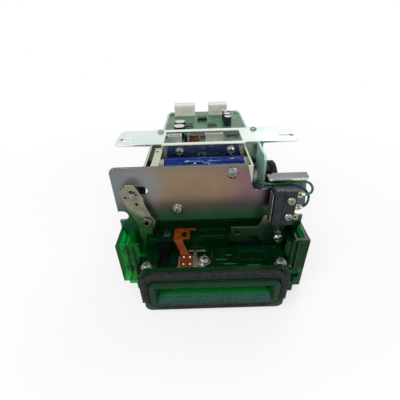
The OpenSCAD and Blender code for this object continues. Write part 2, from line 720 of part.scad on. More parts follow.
module bezel_deck() {
  color("#08331a") difference() {
    union() {
      span([-neck_half, flange_y, deck_bot], [neck_half, -wing_d, deck_top]);
      span([-35, -wing_d - eps, deck_bot], [35, shelf_web, deck_top]);
      span([shelf_end[0], shelf_front, deck_bot], [9, shelf_web, shelf_top]);
      span([shelf_end[0], shelf_front, shelf_bot], [9, shelf_end[1], shelf_top]);
      span([-27, shelf_front, shelf_bot], [9, shelf_wall[1], shelf_top]);
      span([9 - eps, -4.2, shelf_bot], [29, shelf_wall[1], shelf_top + 1.5]);
      span([-30.5, shelf_wall[0], shelf_bot], [29, shelf_wall[1], shelf_wall_top]);
      span([recess[1][0] + 0.2, prehead_y - 3.6, deck_top - eps],
        [head_win[0][0] - 0.2, prehead_y + 4.4, deck_top + 0.4]);
      rod_z(tab_screw[0], tab_screw[1], duct_top + 1.5, deck_bot + eps, 2.6);
    }
    span([head_win[0][0], head_win[0][1], deck_bot - 1], [head_win[1][0], head_win[1][1], deck_top + 1]);
    span([recess[0][0], recess[0][1], deck_bot - 1], [recess[1][0], recess[1][1], deck_top + 1]);
    span([recess[0][0], recess[1][1] - eps, deck_bot - 1], [recess[1][0], shelf_web + eps, shelf_bot]);
    rod_z((recess[1][0] + head_win[0][0]) / 2, prehead_y - 2.4, deck_bot - 1, deck_top + 1, 0.8);
    rod_z(tab_screw[0], tab_screw[1], duct_top, deck_top + 1, m3_hole);
    rod_z(shelf_screw[0], shelf_screw[1], shelf_bot - 1, shelf_top + 1, m2_hole);
    for (s = [-1, 1]) rod_z(s * deck_screw_at[0], deck_screw_at[1], deck_bot - 1, deck_top + 1, m3_hole);
  }
}

module mouth_gasket() {
  color("#2e2c30") xz_sheet(gasket_y, gasket_t) translate([0, lip_z]) difference() {
    translate([0, flange_z - lip_z + 0.25]) round_rect(flange_w - 0.4, flange_h - 0.7, 7.5);
    round_rect(lip_w + 0.6, lip_h + 0.6, 3.8);
  }
}

module entry_sensors() {
  color("#141517") {
    span([recess[0][0] + 0.4, flange_y + 3.5, duct_top], [recess[1][0] - 0.2, -12.6, deck_bot - 0.6]);
    span([recess[0][0] + 0.4, -12.6 - eps, duct_top], [recess[1][0] - 0.2, shelf_web - 0.2, shelf_bot - 0.4]);
    span([5, flange_y + 3.5, duct_top], [deck_screw_at[0] - 6.6, -12.6, deck_bot - 0.6]);
  }
}

module deck_screws() {
  color("#b4b6b8") {
    for (s = [-1, 1])
      translate([s * deck_screw_at[0], deck_screw_at[1], deck_top]) washer_screw(2.8, 2, m3_r, 7, 3);
    translate([tab_screw[0], tab_screw[1], deck_top + 0.4]) washer_screw(2.8, 2, m3_r, 5, 3.5);
    translate([shelf_screw[0], shelf_screw[1], shelf_top]) pan_screw(2.2, 1.5, m2_r, 1.8);
  }
}

module plate_screws() {
  color("#b4b6b8") {
    for (p = [[10.6, plate_top - 4.3], [-17.8, pin_at[1] - 11.6]])
      translate([p[0], 0, p[1]]) rotate([90, 0, 0]) washer_screw(2.65, 1.8, m3_r, 2.4, 2.9);
    for (p = wall_screws)
      translate([p[0], cross_y, p[1]]) rotate([90, 0, 0]) pan_screw(2.65, 1.8, m3_r, 3);
  }
}

// Heads, their springs and the orange flex

pin_dx = 1.6;
pin_dy = 2.45;

module head_body(y, top) {
  difference() {
    union() {
      span([head_x - head_half, y - 4.1, path_z + 1.9], [head_x + head_half, y + 4.1, top]);
      intersection() {
        span([head_x - head_half, y - 3.2, path_z + 0.45], [head_x + head_half, y + 3.2, path_z + 2]);
        rod_x(head_x - head_half, head_x + head_half, y, path_z + 0.45 + 5.5, 5.5);
      }
      for (sx = [-1, 1]) for (sy = [-1, 1])
        rod_z(head_x + sx * pin_dx, y + sy * pin_dy, top - eps, top + 1.2, 0.45);
    }
    for (k = [-1, 1])
      span([head_x + k * 1.8 - 0.1, y - 9, path_z], [head_x + k * 1.8 + 0.1, y + 9, path_z + 1.2]);
  }
}

module spring_plate(y, z) {
  translate([0, 0, z]) linear_extrude(0.4) difference() {
    union() {
      translate([head_x - 4.9, y - 4.4]) square([13.8, 1.2]);
      translate([head_x + 3.3, y - 4.4]) square([1.9, 12.8]);
      translate([head_x + 0.3, y + 7.2]) square([9.4, 1.3]);
      translate([head_x - 4.2, y - 3.9]) square([9, 7.8]);
      translate([head_x + 4, y - 2.6]) square([7.4, 5.2]);
    }
    translate([tab_screw[0], y]) circle(m3_hole);
    for (sx = [-1, 1]) for (sy = [-1, 1]) translate([head_x + sx * pin_dx, y + sy * pin_dy]) circle(0.7);
  }
}

module prehead() {
  color("#3a3b3e") head_body(prehead_y, deck_top);
}

module prehead_spring() {
  color("#9d9d9a") spring_plate(prehead_y, deck_top);
}

flex_t = 0.25;
flex_z = deck_top + 0.4;
// Middle, half width, Y and Z of each station of the rising neck
neck_pts = [[-14.9, 2.1, prehead_y + 4.2, flex_z], [-15.2, 2.1, prehead_y + 6, flex_z + 0.8],
  [-16.4, 2.1, prehead_y + 7.1, flex_z + 3.2], [-17.6, 2.1, shelf_front - 1, shelf_top - 0.6],
  [-18, 2.2, shelf_front - 0.3, shelf_top + 0.15], [-18.1, 2.2, shelf_front + 2.4, shelf_top + 0.15]];

module prehead_flex() {
  color("#d2571a") union() {
    translate([0, 0, flex_z]) linear_extrude(flex_t) difference() {
      translate([head_x - 3.6, prehead_y - 4]) square([6.5, 8.4]);
      for (sx = [-1, 1]) for (sy = [-1, 1])
        translate([head_x + sx * pin_dx, prehead_y + sy * pin_dy]) circle(0.5);
    }
    for (i = [0:len(neck_pts) - 2]) hull() for (k = [0, 1]) let (p = neck_pts[i + k])
      span([p[0] - p[1], p[2] - 0.1, p[3]], [p[0] + p[1], p[2] + 0.1, p[3] + flex_t]);
    translate([0, 0, shelf_top + 0.15]) linear_extrude(flex_t) difference() {
      union() {
        translate([-20.3, shelf_front + 0.2]) square([8.4, shelf_wall[0] - shelf_front - 0.4]);
        translate([-12.5, shelf_wall[0] - 2]) square([4, 1.8]);
      }
      translate([-14.8, -6.8]) {
        square([2.8, 1.6], center = true);
        for (k = [-1, 1]) translate([0, k * 0.8]) circle(1.4);
      }
    }
  }
}

module main_head() {
  color("#3a3b3e") head_body(main_head_y, guide_top + 5);
}

module main_head_spring() {
  color("#9d9d9a") spring_plate(main_head_y, guide_top + 5);
}

// Feeler lever and switch

module feeler_outline() {
  polygon([for (p = [[-25.6, 7.8], [-11.2, 7.7], [-8.5, 15.4], [-7.2, 15.4], [-7.2, 12.4], [-5, 11.2],
    [-3.6, 9], [-3, 4.6], [-1.2, 3.2], [1.6, 2.7], [3.1, 0], [2, -2.4], [-0.6, -4.8], [-4.2, -9],
    [-4.8, -16.2], [-9.9, -16.2], [-9.9, -12.8],
    [-7.2, -10.4], [-7.6, -4.6], [-11, 1.8], [-25.6, 1.8]]) feeler_at + p]);
}

module feeler_lever() {
  color("#9b968c") difference() {
    xz_sheet(feeler_y, feeler_t) feeler_outline();
    rod_y(feeler_at[0] - 22.1, -9, 0, feeler_at[1] + 4.2, 1.2);
    rod_y(feeler_at[0], -9, 0, feeler_at[1], m3_r + run_gap);
  }
}

module feeler_screw() {
  color("#b4b6b8") {
    difference() {
      rod_y(feeler_at[0], feeler_y + feeler_t + 0.3, 0, feeler_at[1], 3);
      rod_y(feeler_at[0], -9, 3, feeler_at[1], m3_r + 0.05);
    }
    translate([feeler_at[0], feeler_y - 0.3, feeler_at[1]]) rotate([90, 0, 0])
      pan_screw(2.8, 2, m3_r, -feeler_y + 0.3 + sheet_t);
  }
}

module microswitch() {
  color("#17181b") difference() {
    union() {
      span([switch_x, switch_front, switch_z], [switch_x + switch_w, switch_back, switch_z + switch_l]);
      rod_y(switch_x + 0.2, switch_front + 0.4, switch_back - 0.4, switch_z + switch_l - 1.6, 0.9);
    }
    for (k = [0, 1]) rod_y(hole_x, -20, 0, hole_z + k * switch_pitch, m2_hole);
    span([switch_x + 1, switch_front - 1, switch_z - 1],
      [switch_x + 4.4, switch_front + 0.4, switch_z + switch_l + 1]);
  }
}

module switch_leaf() {
  color("#a9a7a0") span([leaf_x, switch_front + 1.4, switch_z + 1.2],
    [leaf_x + leaf_t, switch_back + 0.2, switch_z + switch_l - 3]);
}

terminal_z = [switch_z + 2.2, switch_z + 8.4, switch_z + 15.8];
terminal_y = (switch_front + switch_back) / 2;

module switch_terminals() {
  color("#b7a67a") for (z = terminal_z) difference() {
    span([switch_x + switch_w, terminal_y - 0.25, z - 1.6],
      [switch_x + switch_w + 3.6, terminal_y + 0.25, z + 1.6]);
    rod_y(switch_x + switch_w + 2.2, terminal_y - 2, terminal_y + 2, z, 0.7);
  }
}

module switch_screws() {
  color("#b4b6b8") for (k = [0, 1])
    translate([hole_x, switch_front, hole_z + k * switch_pitch]) rotate([90, 0, 0])
      pan_screw(2.15, 1.6, m2_r, switch_t - switch_back + sheet_t);
}

module switch_standoffs() {
  color("#9fae9b") for (k = [0, 1]) difference() {
    rod_y(hole_x, switch_back, 0, hole_z + k * switch_pitch, 2.2);
    rod_y(hole_x, switch_back - 1, 1, hole_z + k * switch_pitch, m2_hole);
  }
}

wire_r = 0.6;
// Points of the two wires, from terminal to control board, X, Y and height over the switch's foot
tip_x = switch_x + switch_w + 3.6;
wire_a = [for (p = [[tip_x + 0.7, terminal_y, 15.8], [tip_x + 2.8, -7.6, 15.2], [48.4, -6, 17.6],
  [46.4, -4.6, 19.7], [41.5, -3.4, 19.6], [36, -2.8, 19], [31.5, -2, 18.3], [28.2, -0.4, 17.5],
  [25.8, 2.4, 16.4], [24, 6, 12.5], [23.6, 12, 9.5], [24, 20, 10], [24.8, 27, 14], [25.4, 32, 17.3],
  [25.4, 36.5, 17.15]]) p + [0, 0, switch_z]];
wire_b = [for (p = [[tip_x + 0.7, terminal_y, 8.4], [47, -7.4, 9.4], [48.2, -5.6, 12.6], [46, -4.2, 16],
  [41.5, -2.8, 17.6], [36, -2, 17.6], [31, -1.9, 16.3], [26.4, 0.2, 15.4], [23.8, 2.8, 13.8],
  [22.9, 6, 10.5], [22.6, 12, 7.8], [22.8, 20, 8.2], [23.2, 27, 13], [23.4, 32, 17.2],
  [23.4, 36.5, 17.15]]) p + [0, 0, switch_z]];

module switch_wires() {
  color("#1e7a44") tube(curve(wire_a, 3), wire_r, 8, [0, 1, 0]);
  color("#1b2a6b") tube(curve(wire_b, 3), wire_r, 8, [0, 1, 0]);
}

// Guides, shafts, rollers and belts

module roller_windows(z0, z1, r) {
  for (y = stations) for (s = [-1, 1])
    span([s * roller_x - roller_w / 2 - 0.8, y - r - 0.8, z0],
      [s * roller_x + roller_w / 2 + 0.8, y + r + 0.8, z1]);
}

module guide_screw_holes() {
  for (s = [-1, 1]) for (y = guide_screw_y) for (z = guide_screw_z)
    rod_x(s > 0 ? chassis_half - 6 : -chassis_half - 1, s > 0 ? chassis_half + 1 : -chassis_half + 6,
      y, z, m2_hole);
}

module lower_guide() {
  color("#1b1c1e") difference() {
    union() {
      span([-chassis_half, plate_back + 1.5, guide_bot], [chassis_half, guide_rear, low_face]);
      span([-tongue, -0.8, guide_bot], [tongue, plate_back + 2, low_face]);
    }
    roller_windows(guide_bot - 1, low_face + 1, roller_r);
    guide_screw_holes();
    translate([0, -0.8, low_face]) rotate([45, 0, 0]) cube([2 * throat_half, 1, 1], center = true);
  }
}

module upper_guide() {
  win = [[head_x - head_half - 0.6, main_head_y - 4.8], [head_x + head_half + 0.6, main_head_y + 4.8]];
  color("#202124") difference() {
    union() {
      span([-chassis_half, plate_back + 1.5, high_face], [chassis_half, guide_rear, guide_top]);
      span([-tongue, -0.8, high_face], [tongue, plate_back + 2, guide_top]);
      for (y = stations) for (s = [-1, 1])
        span([s * 23 - 1.8, y - 4, guide_top - eps], [s * 23 + 1.8, y + 4, pinch_z + axle_r + 2]);
      rod_z(tab_screw[0], main_head_y, guide_top - eps, guide_top + 5, 2.8);
    }
    roller_windows(high_face - 1, guide_top + 1, pinch_r);
    for (y = stations) {
      span([-21.2, y - 2.2, pinch_z - axle_r - move_gap], [21.2, y + 2.2, guide_top + 9]);
      rod_x(-25, 25, y, pinch_z, axle_r + run_gap);
    }
    span([win[0][0], win[0][1], high_face - 1], [win[1][0], win[1][1], guide_top + 1]);
    guide_screw_holes();
    rod_z(tab_screw[0], main_head_y, guide_top, guide_top + 6, m3_hole);
    translate([0, -0.8, high_face]) rotate([45, 0, 0]) cube([2 * throat_half, 1, 1], center = true);
  }
}

module shaft_bushes() {
  color("#b08a4a") for (y = stations) for (s = [-1, 1]) difference() {
    union() {
      rod_x(s > 0 ? chassis_half : -outer_half, s > 0 ? outer_half : -chassis_half, y, shaft_z, bush_r);
      rod_x(s > 0 ? chassis_half - bush_flange : -chassis_half,
        s > 0 ? chassis_half : -chassis_half + bush_flange, y, shaft_z,
        min(bush_r + 1.3, guide_bot - shaft_z + 2.6));
    }
    rod_x(-50, 50, y, shaft_z, shaft_r + run_gap);
    span([-50, y - 9, guide_bot - 0.2], [50, y + 9, guide_bot + 9]);
  }
}

module drive_shaft(y, right) {
  rod_x(-pulley_x - pulley_w - 0.3, right, y, shaft_z, shaft_r);
}

module drive_rollers(y) {
  for (s = [-1, 1]) difference() {
    rod_x(s * roller_x - roller_w / 2, s * roller_x + roller_w / 2, y, shaft_z, roller_r);
    rod_x(-50, 50, y, shaft_z, shaft_r + 0.02);
  }
}

module pinch(y) {
  union() {
    rod_x(-24.6, 24.6, y, pinch_z, axle_r);
    for (s = [-1, 1]) rod_x(s * roller_x - roller_w / 2, s * roller_x + roller_w / 2, y, pinch_z, pinch_r);
  }
}

module front_drive_shaft() { color("#b5b7b9") drive_shaft(stations[0], outer_half + 1); }
module mid_drive_shaft() { color("#b5b7b9") drive_shaft(stations[1], pulley_x + pulley_w + 0.3); }
module rear_drive_shaft() { color("#b5b7b9") drive_shaft(stations[2], outer_half + 1); }
module front_drive_rollers() { color("#3a3a3c") drive_rollers(stations[0]); }
module mid_drive_rollers() { color("#3a3a3c") drive_rollers(stations[1]); }
module rear_drive_rollers() { color("#3a3a3c") drive_rollers(stations[2]); }
module left_pulley(y) { pulley(-pulley_x - pulley_w, y, shaft_z, pulley_r, shaft_r + 0.02); }
module front_pulley() { color("#222326") left_pulley(stations[0]); }
module rear_pulley() { color("#222326") left_pulley(stations[2]); }
module mid_pulleys() {
  color("#222326") {
    left_pulley(stations[1]);
    pulley(pulley_x, stations[1], shaft_z, big_pulley_r, shaft_r + 0.02);
  }
}
module front_pinch() { color("#d8d8d2") pinch(stations[0]); }
module mid_pinch() { color("#d8d8d2") pinch(stations[1]); }
module rear_pinch() { color("#d8d8d2") pinch(stations[2]); }

module transport_belt() {
  x0 = -pulley_x - pulley_w / 2 - belt_w / 2;
  r = pulley_r + belt_gap;
  color("#1a1a1b") yz_sheet(x0, belt_w) difference() {
    slot2d(stations[0], stations[2], shaft_z, r + belt_t);
    slot2d(stations[0], stations[2], shaft_z, r);
  }
}

// Loop round the motor pulley and the big pulley, grown by g
module belt_loop(g) {
  hull() {
    translate(motor_at) circle(motor_pulley_r + g);
    translate([stations[1], shaft_z]) circle(big_pulley_r + g);
  }
}

module drive_belt() {
  color("#1a1a1b") yz_sheet(pulley_x + pulley_w / 2 - belt_w / 2, belt_w) difference() {
    belt_loop(belt_gap + belt_t);
    belt_loop(belt_gap);
  }
}

module motor_can() {
  color("#9c9fa2") difference() {
    union() {
      rod_x(chassis_half - motor_len, chassis_half, motor_at[0], motor_at[1], motor_r);
      rod_x(chassis_half - motor_len - 2.5, chassis_half - motor_len + eps, motor_at[0], motor_at[1], 4);
      for (s = [-1, 1])
        span([chassis_half - motor_len - 4, motor_at[0] + s * 7 - 1.2, motor_at[1] - 0.3],
          [chassis_half - motor_len + eps, motor_at[0] + s * 7 + 1.2, motor_at[1] + 0.3]);
    }
    rod_x(chassis_half - 12, chassis_half + 1, motor_at[0], motor_at[1], motor_shaft_r + run_gap);
    for (k = [-1, 1])
      rod_x(chassis_half - 5, chassis_half + 1, motor_at[0] + k * motor_screw[0],
        motor_at[1] + k * motor_screw[1], m2_hole);
  }
}

module motor_shaft() {
  color("#b5b7b9")
    rod_x(chassis_half - 11, pulley_x + pulley_w + knob_w + 0.4, motor_at[0], motor_at[1], motor_shaft_r);
}

module feed_knob() {
  x1 = pulley_x + pulley_w;
  color("#151618") difference() {
    union() {
      pulley(pulley_x, motor_at[0], motor_at[1], motor_pulley_r, motor_shaft_r + 0.02);
      translate([x1 - eps, motor_at[0], motor_at[1]]) rotate([0, 90, 0]) rotate_extrude()
        polygon([[0, 0], [knob_r - 0.8, 0], [knob_r, 0.8], [knob_r, knob_w - 0.8], [knob_r - 0.8, knob_w],
          [knob_r - 3, knob_w], [knob_r - 3.6, knob_w - 1.2], [0, knob_w - 1.2]]);
    }
    rod_x(pulley_x - 1, x1 + knob_w + 1, motor_at[0], motor_at[1], motor_shaft_r + 0.02);
  }
}

// Control board

board_front = ear_front + 4;
board_half = chassis_half - 1;

module control_board() {
  color("#1d5a34") difference() {
    span([-board_half, board_front, board_z], [board_half, chassis_len - 1, board_z + board_t]);
    for (s = [-1, 1]) for (y = board_screw_y)
      rod_z(s * (chassis_half - 3), y, board_z - 1, board_z + 3, m2_hole);
  }
}

// Six rows of parts on the open stretch of the board, between the bracket and the rear plugs
row_pitch = (chassis_len - tall_len - 32) / 6;
plug_front = tall_len - 4;

// Y of a row, which may be part of a row
function row_y(k) = tall_len + 10 + k * row_pitch;

module board_components() {
  t = board_z + board_t;
  color("#1c1d20") {
    span([-8, row_y(0), t], [8, row_y(2), t + 1.6]);
    span([14, row_y(0.25), t], [24, row_y(1.25), t + 1.4]);
    span([-24, row_y(3), t], [-10, row_y(4), t + 1.4]);
    span([2, row_y(3.25), t], [9, row_y(3.9), t + 1.4]);
    for (k = [0.25, 1.5]) rod_z(-19, row_y(k), t, t + 9, row_pitch / 2);
    for (k = [3.5, 4.5, 5.5]) rod_z(18, row_y(k), t, t + 7, row_pitch * 0.375);
    span([-6, row_y(5.25), t], [2, row_y(6), t + 2.2]);
    rod_z(-8.5, plug_front + 6, t, t + 6, 3.4);
    span([-15, plug_front, t], [-13, plug_front + 2, t + 8]);
  }
}

module board_connectors() {
  t = board_z + board_t;
  color("#e4e2d8") {
    difference() {
      span([-1, plug_front, t], [10.5, plug_front + 6, t + 8]);
      span([0, plug_front + 1, t + 2], [9.5, plug_front + 5, t + 9]);
    }
    difference() {
      span([-26, plug_front, t], [-17, plug_front + 6, t + 7]);
      span([-25, plug_front + 1, t + 2], [-18, plug_front + 5, t + 8]);
    }
    difference() {
      span([-26, chassis_len - 14, t], [-8, chassis_len - 3, t + 9]);
      span([-25, chassis_len - 13, t + 2], [-9, chassis_len - 2, t + 8]);
    }
    difference() {
      span([4, chassis_len - 14, t], [20, chassis_len - 3, t + 9]);
      span([5, chassis_len - 13, t + 2], [19, chassis_len - 2, t + 8]);
    }
  }
}

// Small screws of the chassis
small_hr = 2;
small_hh = 1.4;

module chassis_screws() {
  color("#b4b6b8") for (s = [-1, 1]) {
    for (y = tab_y)
      translate([s * outer_half, y, tab_z]) rotate([0, s * 90, 0]) pan_screw(small_hr, small_hh, m2_r, 3);
    for (y = guide_screw_y) for (z = guide_screw_z)
      translate([s * outer_half, y, z]) rotate([0, s * 90, 0]) pan_screw(small_hr * 0.8, 0.9, m2_r, 5);
    for (y = board_screw_y)
      translate([s * (chassis_half - 3), y, board_z + board_t]) pan_screw(small_hr, small_hh, m2_r, 3);
    translate([s * (chassis_half - 3), lip_screw_y, tall_top + sheet_t]) pan_screw(small_hr, small_hh, m2_r, 3);
    translate([outer_half, motor_at[0] + s * motor_screw[0], motor_at[1] + s * motor_screw[1]])
      rotate([0, 90, 0]) pan_screw(small_hr, 0.9, m2_r, 4);
    for (z = boss_z) translate([s * boss_x, sheet_t, z]) rotate([-90, 0, 0]) pan_screw(2.65, 1.8, m3_r, 8);
    translate([tab_screw[0], main_head_y, guide_top + 5.4]) if (s > 0) pan_screw(2.65, 1.8, m3_r, 4);
  }
}

front_plate();
left_side_plate();
right_side_plate();
base_plate();
rear_plate();
top_bracket();
solenoid_bracket();
solenoid_body();
solenoid_sleeve();
bezel_front();
bezel_housing();
bezel_deck();
mouth_gasket();
entry_sensors();
deck_screws();
plate_screws();
prehead_spring();
prehead_flex();
microswitch();
switch_terminals();
switch_screws();
switch_standoffs();
switch_wires();
lever_stud();
feeler_screw();
lower_guide();
upper_guide();
shaft_bushes();
motor_can();
control_board();
board_components();
board_connectors();
chassis_screws();
drive_belt();
transport_belt();
main_head_spring();
plunger_spring();
solenoid_plunger();
link_pin();
pin_clip();
shutter_lever();
shutter();
feeler_lever();
switch_leaf();
prehead();
main_head();
motor_shaft();
feed_knob();
front_drive_shaft();
front_drive_rollers();
front_pulley();
mid_drive_shaft();
mid_drive_rollers();
mid_pulleys();
rear_drive_shaft();
rear_drive_rollers();
rear_pulley();
front_pinch();
mid_pinch();
rear_pinch();
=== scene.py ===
# %% [markdown]
# This lesson dresses a motorised card reader: a clear green entry bezel in front of a plated sheet
# chassis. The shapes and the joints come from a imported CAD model, so the first step loads that model
# and keeps its box, which the dressed object must not outgrow.

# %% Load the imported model
import math

import bpy
import numpy as np
from mathutils import Matrix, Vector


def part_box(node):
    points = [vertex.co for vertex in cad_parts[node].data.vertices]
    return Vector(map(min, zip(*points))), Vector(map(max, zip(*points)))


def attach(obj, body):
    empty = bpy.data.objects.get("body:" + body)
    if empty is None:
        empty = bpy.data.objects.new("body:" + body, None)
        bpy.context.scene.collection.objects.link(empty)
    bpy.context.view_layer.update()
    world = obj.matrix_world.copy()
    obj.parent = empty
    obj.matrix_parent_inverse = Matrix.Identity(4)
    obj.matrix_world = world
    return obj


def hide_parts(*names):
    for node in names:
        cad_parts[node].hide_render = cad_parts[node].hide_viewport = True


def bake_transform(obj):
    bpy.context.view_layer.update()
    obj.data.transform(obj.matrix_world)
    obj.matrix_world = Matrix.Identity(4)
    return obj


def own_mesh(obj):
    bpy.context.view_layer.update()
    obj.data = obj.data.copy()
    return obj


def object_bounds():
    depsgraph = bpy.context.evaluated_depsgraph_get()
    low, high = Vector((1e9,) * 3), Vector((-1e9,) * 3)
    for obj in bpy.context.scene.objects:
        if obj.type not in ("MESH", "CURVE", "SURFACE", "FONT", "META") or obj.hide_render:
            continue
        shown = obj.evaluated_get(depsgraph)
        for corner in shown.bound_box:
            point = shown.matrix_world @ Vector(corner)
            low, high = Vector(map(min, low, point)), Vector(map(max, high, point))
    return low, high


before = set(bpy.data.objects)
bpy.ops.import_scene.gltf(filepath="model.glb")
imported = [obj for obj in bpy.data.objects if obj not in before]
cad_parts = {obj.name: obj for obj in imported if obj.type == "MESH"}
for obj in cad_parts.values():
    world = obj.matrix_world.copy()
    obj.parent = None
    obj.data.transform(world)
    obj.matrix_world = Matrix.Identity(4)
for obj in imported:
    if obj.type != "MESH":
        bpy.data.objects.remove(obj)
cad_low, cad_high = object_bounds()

MM = 0.001
scene = bpy.context.scene
print("CAD box in mm:", [round(v / MM, 1) for v in (*cad_low, *cad_high)])

# %% [markdown]
# The camera stands in front of the slot, a little left of its middle, and looks down at the bezel. It
# could be aimed by eye, but its place and turn were found by matching known corners of the front plate,
# so they are plain numbers. The lens is a wide one, so the near bezel looks larger than the chassis
# behind it.

# %% Camera
CAMERA_PLACE = np.array([-5.557, -116.012, 130.158]) * MM
CAMERA_YAW, CAMERA_PITCH, CAMERA_ROLL = -0.0025665, 0.588920, -0.0327004


def camera_matrix(place, yaw, pitch, roll):
    """Columns are right, up and back: a look along yaw and pitch, then a turn by roll about that look."""
    ahead = np.array([math.sin(yaw) * math.cos(pitch), math.cos(yaw) * math.cos(pitch), -math.sin(pitch)])
    level = np.array([math.cos(yaw), -math.sin(yaw), 0.0])
    above = np.cross(level, ahead)
    right = math.cos(roll) * level + math.sin(roll) * above
    up = math.cos(roll) * above - math.sin(roll) * level
    m = np.eye(4)
    m[:3, 0], m[:3, 1], m[:3, 2], m[:3, 3] = right, up, -ahead, place
    return Matrix(m.tolist())


lens = bpy.data.cameras.new("view")
lens.sensor_width = 36
lens.lens = 24.0
lens.clip_start = 2.0 * MM
camera = bpy.data.objects.new("view", lens)
scene.collection.objects.link(camera)
camera.matrix_world = camera_matrix(CAMERA_PLACE, CAMERA_YAW, CAMERA_PITCH, CAMERA_ROLL)
scene.camera = camera
scene.view_settings.view_transform = "Standard"
print("camera height in mm:", round(camera.location.z / MM, 1))

# %% [markdown]
# A shader tree could be drawn in the node editor. In a script it is easier to read when each node is
# one call, so these helpers add a node, link the inputs that are given as sockets and set the others.
# Inputs without a useful name are given by their number, such as i0.

# %% Shader helpers
def feed(tree, node, **inputs):
    """Fills a node's inputs: sockets are linked, plain values are set."""
    for key, value in inputs.items():
        numbered = key[0] == "i" and key[1:].isdigit()
        socket = node.inputs[int(key[1:]) if numbered else key.replace("_", " ")]
        if isinstance(value, bpy.types.NodeSocket):
            tree.links.new(value, socket)
        else:
            socket.default_value = value
    return node


def add(tree, kind, settings=None, **inputs):
    """One shader node with its settings and its inputs."""
    node = tree.nodes.new("ShaderNode" + kind)
    for key, value in (settings or {}).items():
        setattr(node, key, value)
    return feed(tree, node, **inputs)


def maths(tree, operation, a, b=0.0):
    """One sum on two values, such as ADD or MULTIPLY."""
    return add(tree, "Math", {"operation": operation}, i0=a, i1=b).outputs[0]


def vector_maths(tree, operation, a, b=(0, 0, 0), out="Vector"):
    """One sum on two vectors. Lengths, distances and dot products come out as a Value."""
    return add(tree, "VectorMath", {"operation": operation}, i0=a, i1=b).outputs[out]


def ranged(tree, value, low, high, to_low=0.0, to_high=1.0):
    """The value's stretch from low to high, moved smoothly to another stretch."""
    return add(tree, "MapRange", {"interpolation_type": "SMOOTHSTEP"}, Value=value, From_Min=low,
               From_Max=high, To_Min=to_low, To_Max=to_high).outputs["Result"]


def where_on(tree):
    """The place on a piece, in Object coordinates."""
    return add(tree, "TexCoord").outputs["Object"]


print("shader helpers ready")

# %% [markdown]
# The studio is a white sweep: a pale floor under a white world. A curved backdrop would do it too, but
# the world needs no shape. It is full white only for the camera, for reflections and through clear
# plastic, so the lamps still model the shapes. The floor fades to plain white away from the object and
# keeps a faint shadow near it.

# %% Studio
WHITE, FLOOR_GREY = (1, 1, 1, 1), (0.82, 0.82, 0.82, 1)
WORLD_LIGHT = 0.52
FLOOR_HALF, FLOOR_GAP = 1.5, 0.05 * MM
SHADOW_MIDDLE_Y, SHADOW_REACH, SHADOW_GLOW = 0.05, (0.10, 0.30), 0.72


def seen_directly(tree):
    """1 for rays from the camera, off a reflection or through clear plastic, and 0 for other light."""
    path = add(tree, "LightPath").outputs
    seen = maths(tree, "MAXIMUM", path["Is Camera Ray"], path["Is Glossy Ray"])
    return maths(tree, "MAXIMUM", seen, path["Is Transmission Ray"])


world = bpy.data.worlds.new("white sweep")
scene.world = world
world.use_nodes = True
tree = world.node_tree
tree.nodes.clear()
strength = add(tree, "MapRange", Value=seen_directly(tree), To_Min=WORLD_LIGHT, To_Max=1.0).outputs["Result"]
sky = add(tree, "Background", Color=WHITE, Strength=strength)
add(tree, "OutputWorld", Surface=sky.outputs["Background"])

floor_z = cad_low.z - FLOOR_GAP
floor_mesh = bpy.data.meshes.new("floor")
floor_mesh.from_pydata([(sx * FLOOR_HALF, sy * FLOOR_HALF, floor_z) for sx, sy in
                        ((-1, -1), (1, -1), (1, 1), (-1, 1))], [], [(0, 1, 2, 3)])
floor = bpy.data.objects.new("floor", floor_mesh)
scene.collection.objects.link(floor)

paper = bpy.data.materials.new("white floor")
paper.use_nodes = True
tree = paper.node_tree
tree.nodes.clear()
off = vector_maths(tree, "SUBTRACT", where_on(tree), (0, SHADOW_MIDDLE_Y, floor_z))
away = vector_maths(tree, "LENGTH", off, out="Value")
glow = maths(tree, "MULTIPLY", seen_directly(tree), ranged(tree, away, *SHADOW_REACH, SHADOW_GLOW, 1.0))
both = add(tree, "MixShader", i0=glow, i1=add(tree, "BsdfDiffuse", Color=FLOOR_GREY).outputs[0],
           i2=add(tree, "Emission", Color=WHITE, Strength=1.0).outputs[0])
add(tree, "OutputMaterial", Surface=both.outputs[0])
floor_mesh.materials.append(paper)
print("studio floor at mm:", round(floor_z / MM, 2))

# %% [markdown]
# A small product could be lit by one sun lamp, but its shadows would be hard. Large lamps close to it
# give soft shadow edges and broad highlights. One stands front left, one behind on the right and a
# weaker one front right.

# %% Lamps
LAMP_AIM = (0, 0.03, 0.03)


def soft_lamp(name, at, side, power):
    """A square area lamp that stands at one point and shines at the object's middle."""
    data = bpy.data.lights.new(name, "AREA")
    data.size = side
    data.energy = power
    lamp = bpy.data.objects.new(name, data)
    scene.collection.objects.link(lamp)
    back = np.array(at) - np.array(LAMP_AIM)
    back = back / np.linalg.norm(back)
    right = np.cross((0, 0, 1), back)
    right = right / np.linalg.norm(right)
    m = np.eye(4)
    m[:3, 0], m[:3, 1], m[:3, 2], m[:3, 3] = right, np.cross(back, right), back, at
    lamp.matrix_world = Matrix(m.tolist())


soft_lamp("key lamp", (-0.35, -0.30, 0.60), 0.30, 2.6)
soft_lamp("rear lamp", (0.30, 0.50, 0.60), 0.35, 2.0)
soft_lamp("front lamp", (0.40, -0.55, 0.35), 0.30, 1.2)
print("lamps:", [data.name for data in bpy.data.lights])

# %% [markdown]
# An effect that many finishes use could be copied into each of them, but then a change would have to be
# made in many places. A shader group is built once instead, with named inputs and outputs, and placed
# in each material with its own values. These helpers make a group and the nodes that groups need most.

